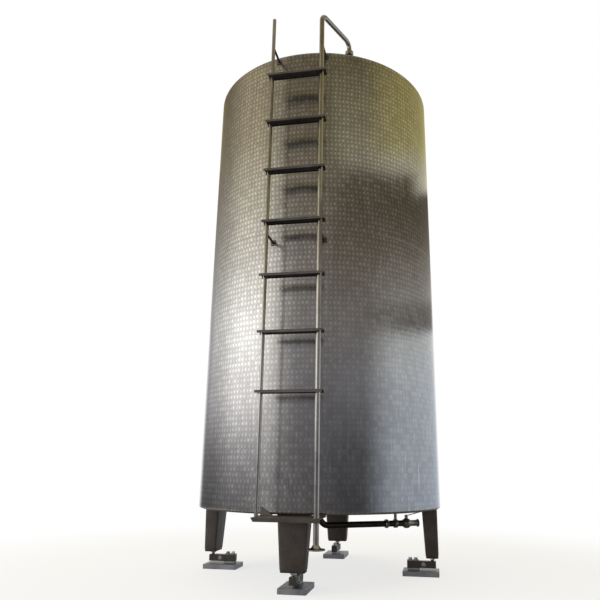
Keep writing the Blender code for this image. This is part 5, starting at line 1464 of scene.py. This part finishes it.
shape = bmesh.new()
grip_y = (handle_low.y + handle_high.y) / 2
grip_x, grip_z = handle_high.x - GRIP_RADIUS, handle_high.z - GRIP_RADIUS
foot = handle_low.z + 0.5 * MILLIMETRE
grip = [(-grip_x, foot), (-grip_x, grip_z), (grip_x, grip_z), (grip_x, foot)]
grip = [(x, grip_y, z) for x, z in grip]
add_tube(shape, rounded_path(grip, GRIP_BEND), GRIP_RADIUS)
for x in (-grip_x, grip_x):
    add_turned(shape, GRIP_FLANGE, Matrix.Translation((x, grip_y, foot)), 32)
keep(object_from("lid_grip", shape), POLISHED, "fastener", "lid_handle")

# %% Hinge pin
shape = bmesh.new()
half = pin_high.x / MILLIMETRE
pin = in_millimetres([
    (0, -half), (6, -half), (6, 1.5 - half), (5, 2 - half), (5, half - 1), (4, half), (0, half),
])
add_turned(shape, pin, lying, 24, loop=False)
keep(object_from("manhole_hinge_pin", shape), ZINC, "fastener", "hinge_pin")

# %% [markdown]
# ### Agitator drive
# A worm gearbox stands on a flanged port, and its motor lies behind it. The motor's cooling fins repeat
# round the barrel, so Geometry Nodes set them out on a circle: one fin, a count and a radius are enough.

# %% Ring tree
def ring_tree():
    """Copies of a block, set out on a circle and facing outward."""
    tree, sizes = new_tree("ring_of_fins", {
        "Radius": "Float", "Count": "Int", "Long": "Float", "Wide": "Float", "Deep": "Float",
        "Material": "Material",
    })
    round_about = {"Vertices": sizes["Count"], "Radius": sizes["Radius"]}
    circle = add_node(tree, "GeometryNodeMeshCircle", round_about)
    size = add_node(tree, "ShaderNodeCombineXYZ", {0: sizes["Deep"], 1: sizes["Wide"], 2: sizes["Long"]})
    fin = add_node(tree, "GeometryNodeMeshCube", {"Size": size.outputs[0]})
    place = add_node(tree, "GeometryNodeInputPosition")
    facing = add_node(tree, "FunctionNodeAlignRotationToVector", {"Vector": place.outputs[0]}, axis="X")
    fins = add_node(tree, "GeometryNodeInstanceOnPoints", {
        "Points": circle.outputs[0], "Instance": fin.outputs[0], "Rotation": facing.outputs[0],
    })
    return finish_tree(tree, fins.outputs[0], sizes)


RING = ring_tree()
print(RING.name, len(RING.nodes), "nodes")

# %% Gearbox
CAST_CORNER = 14 * MILLIMETRE
CAST_FLANGE = 9 * MILLIMETRE
CAST_WAIST = 5 * MILLIMETRE
CAST_BEVEL = 5 * MILLIMETRE
CAP_BOLT = 5.5 * MILLIMETRE

gear_low, gear_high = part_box("gearbox")
GEAR_Y = (gear_low.y + gear_high.y) / 2
drive = Matrix.Translation((0, GEAR_Y, 0))

shape = bmesh.new()
rings = []
outer_x, outer_y = gear_high.x, gear_high.y - GEAR_Y
foot_top, head_low = gear_low.z + CAST_FLANGE, gear_high.z - CAST_FLANGE
for height, step in (
    (gear_low.z, 0), (foot_top, 0), (foot_top, CAST_WAIST), (head_low, CAST_WAIST),
    (head_low, MILLIMETRE), (gear_high.z - 3 * MILLIMETRE, MILLIMETRE), (gear_high.z, CAST_BEVEL),
):
    near, far = (step - outer_x, step - outer_y), (outer_x - step, outer_y - step)
    rings.append([drive @ Vector(point) for point in rounded_rectangle(near, far, CAST_CORNER, height)])
add_rings(shape, rings)
for x, y in ((-1, -1), (1, -1), (-1, 1), (1, 1)):
    corner = Matrix.Translation((x * (outer_x - CAST_CORNER), y * (outer_y - CAST_CORNER), 0))
    bolt_low, bolt_high = gear_high.z - 6 * MILLIMETRE, gear_high.z - 0.5 * MILLIMETRE
    add_hexagon(shape, CAP_BOLT, bolt_low, bolt_high, drive @ corner)
keep(object_from("worm_gearbox", shape, 0.6 * MILLIMETRE), CASTING, "casting", "gearbox")

# %% Motor
FIN_DEPTH = 6 * MILLIMETRE
FIN_SUNK = 0.8 * MILLIMETRE
END_SHIELD = 12 * MILLIMETRE
FAN_COVER = 0.74
FAN_ROUND = 10 * MILLIMETRE
GUARD_SLOT = 1.2 * MILLIMETRE

motor_low, motor_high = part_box("agitator_motor")
MOTOR_RADIUS = motor_high.x
MOTOR_LENGTH = motor_high.y - motor_low.y


def add_grown(shape, name, tree, values, place):
    """Runs a tree and adds its result to a shape, at a place."""
    grown = grow(name, tree, values)
    grown.data.transform(place)
    shape.from_mesh(grown.data)
    bpy.data.objects.remove(grown)


shape = bmesh.new()
motor_z = (motor_low.z + motor_high.z) / 2
barrel = MOTOR_RADIUS - FIN_DEPTH
motor = Matrix.Translation((0, motor_low.y, motor_z)) @ Matrix.Rotation(-pi / 2, 4, "X")
cover = MOTOR_LENGTH * FAN_COVER
shield = END_SHIELD + 2 * MILLIMETRE
body = [(0, 0), (MOTOR_RADIUS - 0.002, 0), (MOTOR_RADIUS, 0.002), (MOTOR_RADIUS, END_SHIELD)]
body += [(barrel, shield), (barrel, cover), (MOTOR_RADIUS - 0.001, cover + 0.001)]
body += [(MOTOR_RADIUS, cover + 0.003), (MOTOR_RADIUS, MOTOR_LENGTH - 0.012)]
body += arc((MOTOR_RADIUS - FAN_ROUND, MOTOR_LENGTH - FAN_ROUND), FAN_ROUND, 0, 90, 5)
body += [(0.012, MOTOR_LENGTH), (0, MOTOR_LENGTH)]
add_turned(shape, body, motor, 64, loop=False)
fin_sizes = {
    "Radius": MOTOR_RADIUS - FIN_DEPTH / 2 - FIN_SUNK, "Count": 30, "Long": cover - 0.016,
    "Wide": 2 * MILLIMETRE, "Deep": FIN_DEPTH, "Material": CASTING,
}
middle = (cover + shield) / 2
add_grown(shape, "motor_fins", RING, fin_sizes, motor @ Matrix.Translation((0, 0, middle)))
vent_sizes = {
    "Radius": MOTOR_RADIUS * 0.52, "Count": 16, "Long": GUARD_SLOT, "Wide": 0.003,
    "Deep": MOTOR_RADIUS * 0.5, "Material": CASTING,
}
end = motor @ Matrix.Translation((0, 0, MOTOR_LENGTH - GUARD_SLOT / 2))
add_grown(shape, "fan_guard", RING, vent_sizes, end)
keep(object_from("drive_motor", shape), CASTING, "casting", "agitator_motor")

# %% Agitator port
PORT_BORE, PORT_WALL = 0.037, 0.040
PORT_BOLTS = 8
PORT_BOLT = 6.5 * MILLIMETRE

mount_low, mount_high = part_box("agitator_mount")
shape = bmesh.new()
plate_radius, plate_high = mount_high.x, mount_high.z
plate_low = plate_high - 8 * MILLIMETRE
port = [(PORT_BORE, mount_low.z), (PORT_WALL, mount_low.z), (PORT_WALL, plate_low - 0.003)]
port += [(PORT_WALL + 0.003, plate_low), (plate_radius - 0.001, plate_low)]
port += [(plate_radius, plate_low + 0.001), (plate_radius, plate_high - 0.001)]
port += [(plate_radius - 0.001, plate_high), (PORT_BORE, plate_high)]
add_turned(shape, port, drive, 64)
for step in range(PORT_BOLTS):
    turn = Matrix.Rotation((step + 0.5) * 2 * pi / PORT_BOLTS, 4, "Z")
    under = drive @ turn @ Matrix.Translation((plate_radius - 0.012, 0, 0))
    add_hexagon(shape, PORT_BOLT, plate_low - 0.006, plate_low, under)
keep(object_from("agitator_port", shape), BRUSHED, "satin_steel", "agitator_mount")

# %% Vent
VENT_BORE, VENT_WALL = 0.0355, 0.038
CAP_OVER = ((0, 0), (0.35, 0.002), (0.7, 0.009), (0.93, 0.020), (1, 0.026))
CAP_UNDER = ((0.9, 0.023), (0.68, 0.012), (0.33, 0.005), (0, 0.003))
CAP_SKIRT = 12 * MILLIMETRE
RIB_HALF = (2 * MILLIMETRE, 7 * MILLIMETRE)

vent_low, vent_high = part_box("vent")
VENT = Matrix.Translation(((vent_low.x + vent_high.x) / 2, (vent_low.y + vent_high.y) / 2, 0))
CAP_RADIUS = (vent_high.x - vent_low.x) / 2
mouth = vent_high.z - 30 * MILLIMETRE

shape = bmesh.new()
pipe = [(VENT_BORE, vent_low.z), (VENT_WALL, vent_low.z), (VENT_WALL, mouth), (VENT_BORE, mouth)]
add_turned(shape, pipe, VENT, 48)
skirt = mouth - CAP_SKIRT
hem, inside = skirt + 0.001, CAP_RADIUS - 0.002
cap = [(CAP_RADIUS * share, vent_high.z - drop) for share, drop in CAP_OVER]
cap += [(CAP_RADIUS, hem), (CAP_RADIUS - 0.001, skirt), (inside, hem), (inside, vent_high.z - 0.027)]
cap += [(CAP_RADIUS * share, vent_high.z - drop) for share, drop in CAP_UNDER]
add_turned(shape, cap, VENT, 64, loop=False)
reach, (thick, tall) = CAP_RADIUS - 0.001, RIB_HALF
for turn in (0, pi / 2):
    rib = VENT @ Matrix.Rotation(turn, 4, "Z")
    add_block(shape, (-reach, -thick, mouth - tall), (reach, thick, mouth + tall), rib)
keep(object_from("roof_vent", shape), BRUSHED, "satin_steel", "vent")

# %% [markdown]
# ## Welds
# A hand-made weld is a row of overlapping beads that follows a joint. Each joint is drawn here as a line
# of points, and Geometry Nodes turn the line into a curve, set beads along it at a fixed spacing, and
# vary their size a little with a fixed seed.

# %% Weld tree
def weld_tree():
    """Beads of slightly uneven size along a line of points."""
    tree, sizes = new_tree("weld_beads", {
        "Bead": "Float", "Spacing": "Float", "Seed": "Int", "Material": "Material",
    })
    line = add_node(tree, "GeometryNodeMeshToCurve", {"Mesh": sizes["Geometry"]})
    spacing = {"Curve": line.outputs[0], "Length": sizes["Spacing"]}
    spaced = add_node(tree, "GeometryNodeResampleCurve", spacing, mode="LENGTH")
    round_bead = {"Segments": 8, "Rings": 5, "Radius": sizes["Bead"]}
    ball = add_node(tree, "GeometryNodeMeshUVSphere", round_bead)
    least, most = (0.85, 0.85, 0.85), (1.15, 1.15, 1.15)
    spread = {"Min": least, "Max": most, "Seed": sizes["Seed"]}
    uneven = add_node(tree, "FunctionNodeRandomValue", spread, data_type="FLOAT_VECTOR")
    beads = add_node(tree, "GeometryNodeInstanceOnPoints", {
        "Points": spaced.outputs[0], "Instance": ball.outputs[0], "Scale": uneven.outputs[0],
    })
    return finish_tree(tree, beads.outputs[0], sizes)


WELD = weld_tree()
print(WELD.name, len(WELD.nodes), "nodes")

# %% A weld along some lines
BEAD = 2.6 * MILLIMETRE
BEAD_SPACING = 1.1


def run_of_points(points, closed=False):
    """A mesh of one line through these points, for the weld to follow."""
    edges = [(i, i + 1) for i in range(len(points) - 1)] + ([(len(points) - 1, 0)] if closed else [])
    mesh = bpy.data.meshes.new("weld_line")
    mesh.from_pydata(points, edges, [])
    return mesh


def circle_points(place, radius, height, count):
    return [place @ Vector((*point, height)) for point in arc((0, 0), radius, 0, 360, count + 1)[:-1]]


def weld(name, lines, bead=BEAD, body="tank"):
    """Beads along each of the lines, joined as one piece. A line is its points and whether it closes."""
    shape = bmesh.new()
    for seed, (points, closed) in enumerate(lines):
        values = {"Bead": bead, "Spacing": bead * BEAD_SPACING, "Seed": seed, "Material": WELD_STEEL}
        grown = grow("beads", WELD, values, run_of_points(points, closed))
        shape.from_mesh(grown.data)
        bpy.data.objects.remove(grown)
    bmesh.ops.recalc_face_normals(shape, faces=shape.faces)
    mesh = bpy.data.meshes.new(name)
    shape.to_mesh(mesh)
    shape.free()
    mesh.shade_smooth()
    piece = bpy.data.objects.new(name, mesh)
    bpy.context.scene.collection.objects.link(piece)
    keep(piece, WELD_STEEL, "satin_steel", body=body)


print("beads every", round(BEAD * BEAD_SPACING / MILLIMETRE, 2), "mm")

# %% Welds on the tank
leg_welds = []
for side in SIDES:
    ring = leg_ring(SHELL_BASE - 1 * MILLIMETRE)
    leg_welds.append(([side_frame(side) @ Vector(point) for point in ring], True))
weld("leg_welds", leg_welds)
roof_edge, _, roof_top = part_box("roof")[1]
roof_welds = []
for place, radius, count in ((manhole, MOUTH_RADIUS + 0.0045, 160), (drive, 0.0415, 48), (VENT, 0.0395, 48)):
    roof_welds.append((circle_points(place, radius, roof_top, count), True))
weld("roof_welds", roof_welds)
edge_weld = circle_points(TANK_AXIS, roof_edge + 0.001, roof_top - 0.0015, 240)
weld("roof_seam", [(edge_weld, True)], 2.0 * MILLIMETRE)

# %% Welds on the ladder
tread_welds = []
for number in range(1, 8):
    low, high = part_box(f"tread_{number}")
    for x, radius in ((-STILE_X, STILE_RADIUS), (STILE_X, WASH_RADIUS)):
        ring = Matrix.Translation((x, STILE_Y, 0))
        tread_welds.append((circle_points(ring, radius + 0.0008, high.z + 0.0005, 24), True))
weld("tread_welds", tread_welds, 2.2 * MILLIMETRE)

# %% [markdown]
# ## The frame's own pieces
# What lies behind the cladding and a few plain pieces need no new shape, so the frame's own pieces stay.
# Each takes the finish that belongs to its slot.

# %% Finish of each slot
FINISH_OF_SLOT = {
    "cladding": SPOTTED, "satin_steel": BRUSHED, "tube_steel": POLISHED, "leg_steel": MILL,
    "load_cell": NICKEL, "fastener": ZINC, "foam": FOAM, "rubber": RUBBER, "casting": CASTING,
}
for subpart in frame["record"]["subparts"]:
    piece = frame["nodes"][subpart["node"]]
    if piece.hide_render:
        continue
    piece.data.materials.clear()
    piece.data.materials.append(FINISH_OF_SLOT[subpart["material_slot"]])
    print(piece.name, "is", FINISH_OF_SLOT[subpart["material_slot"]].name)
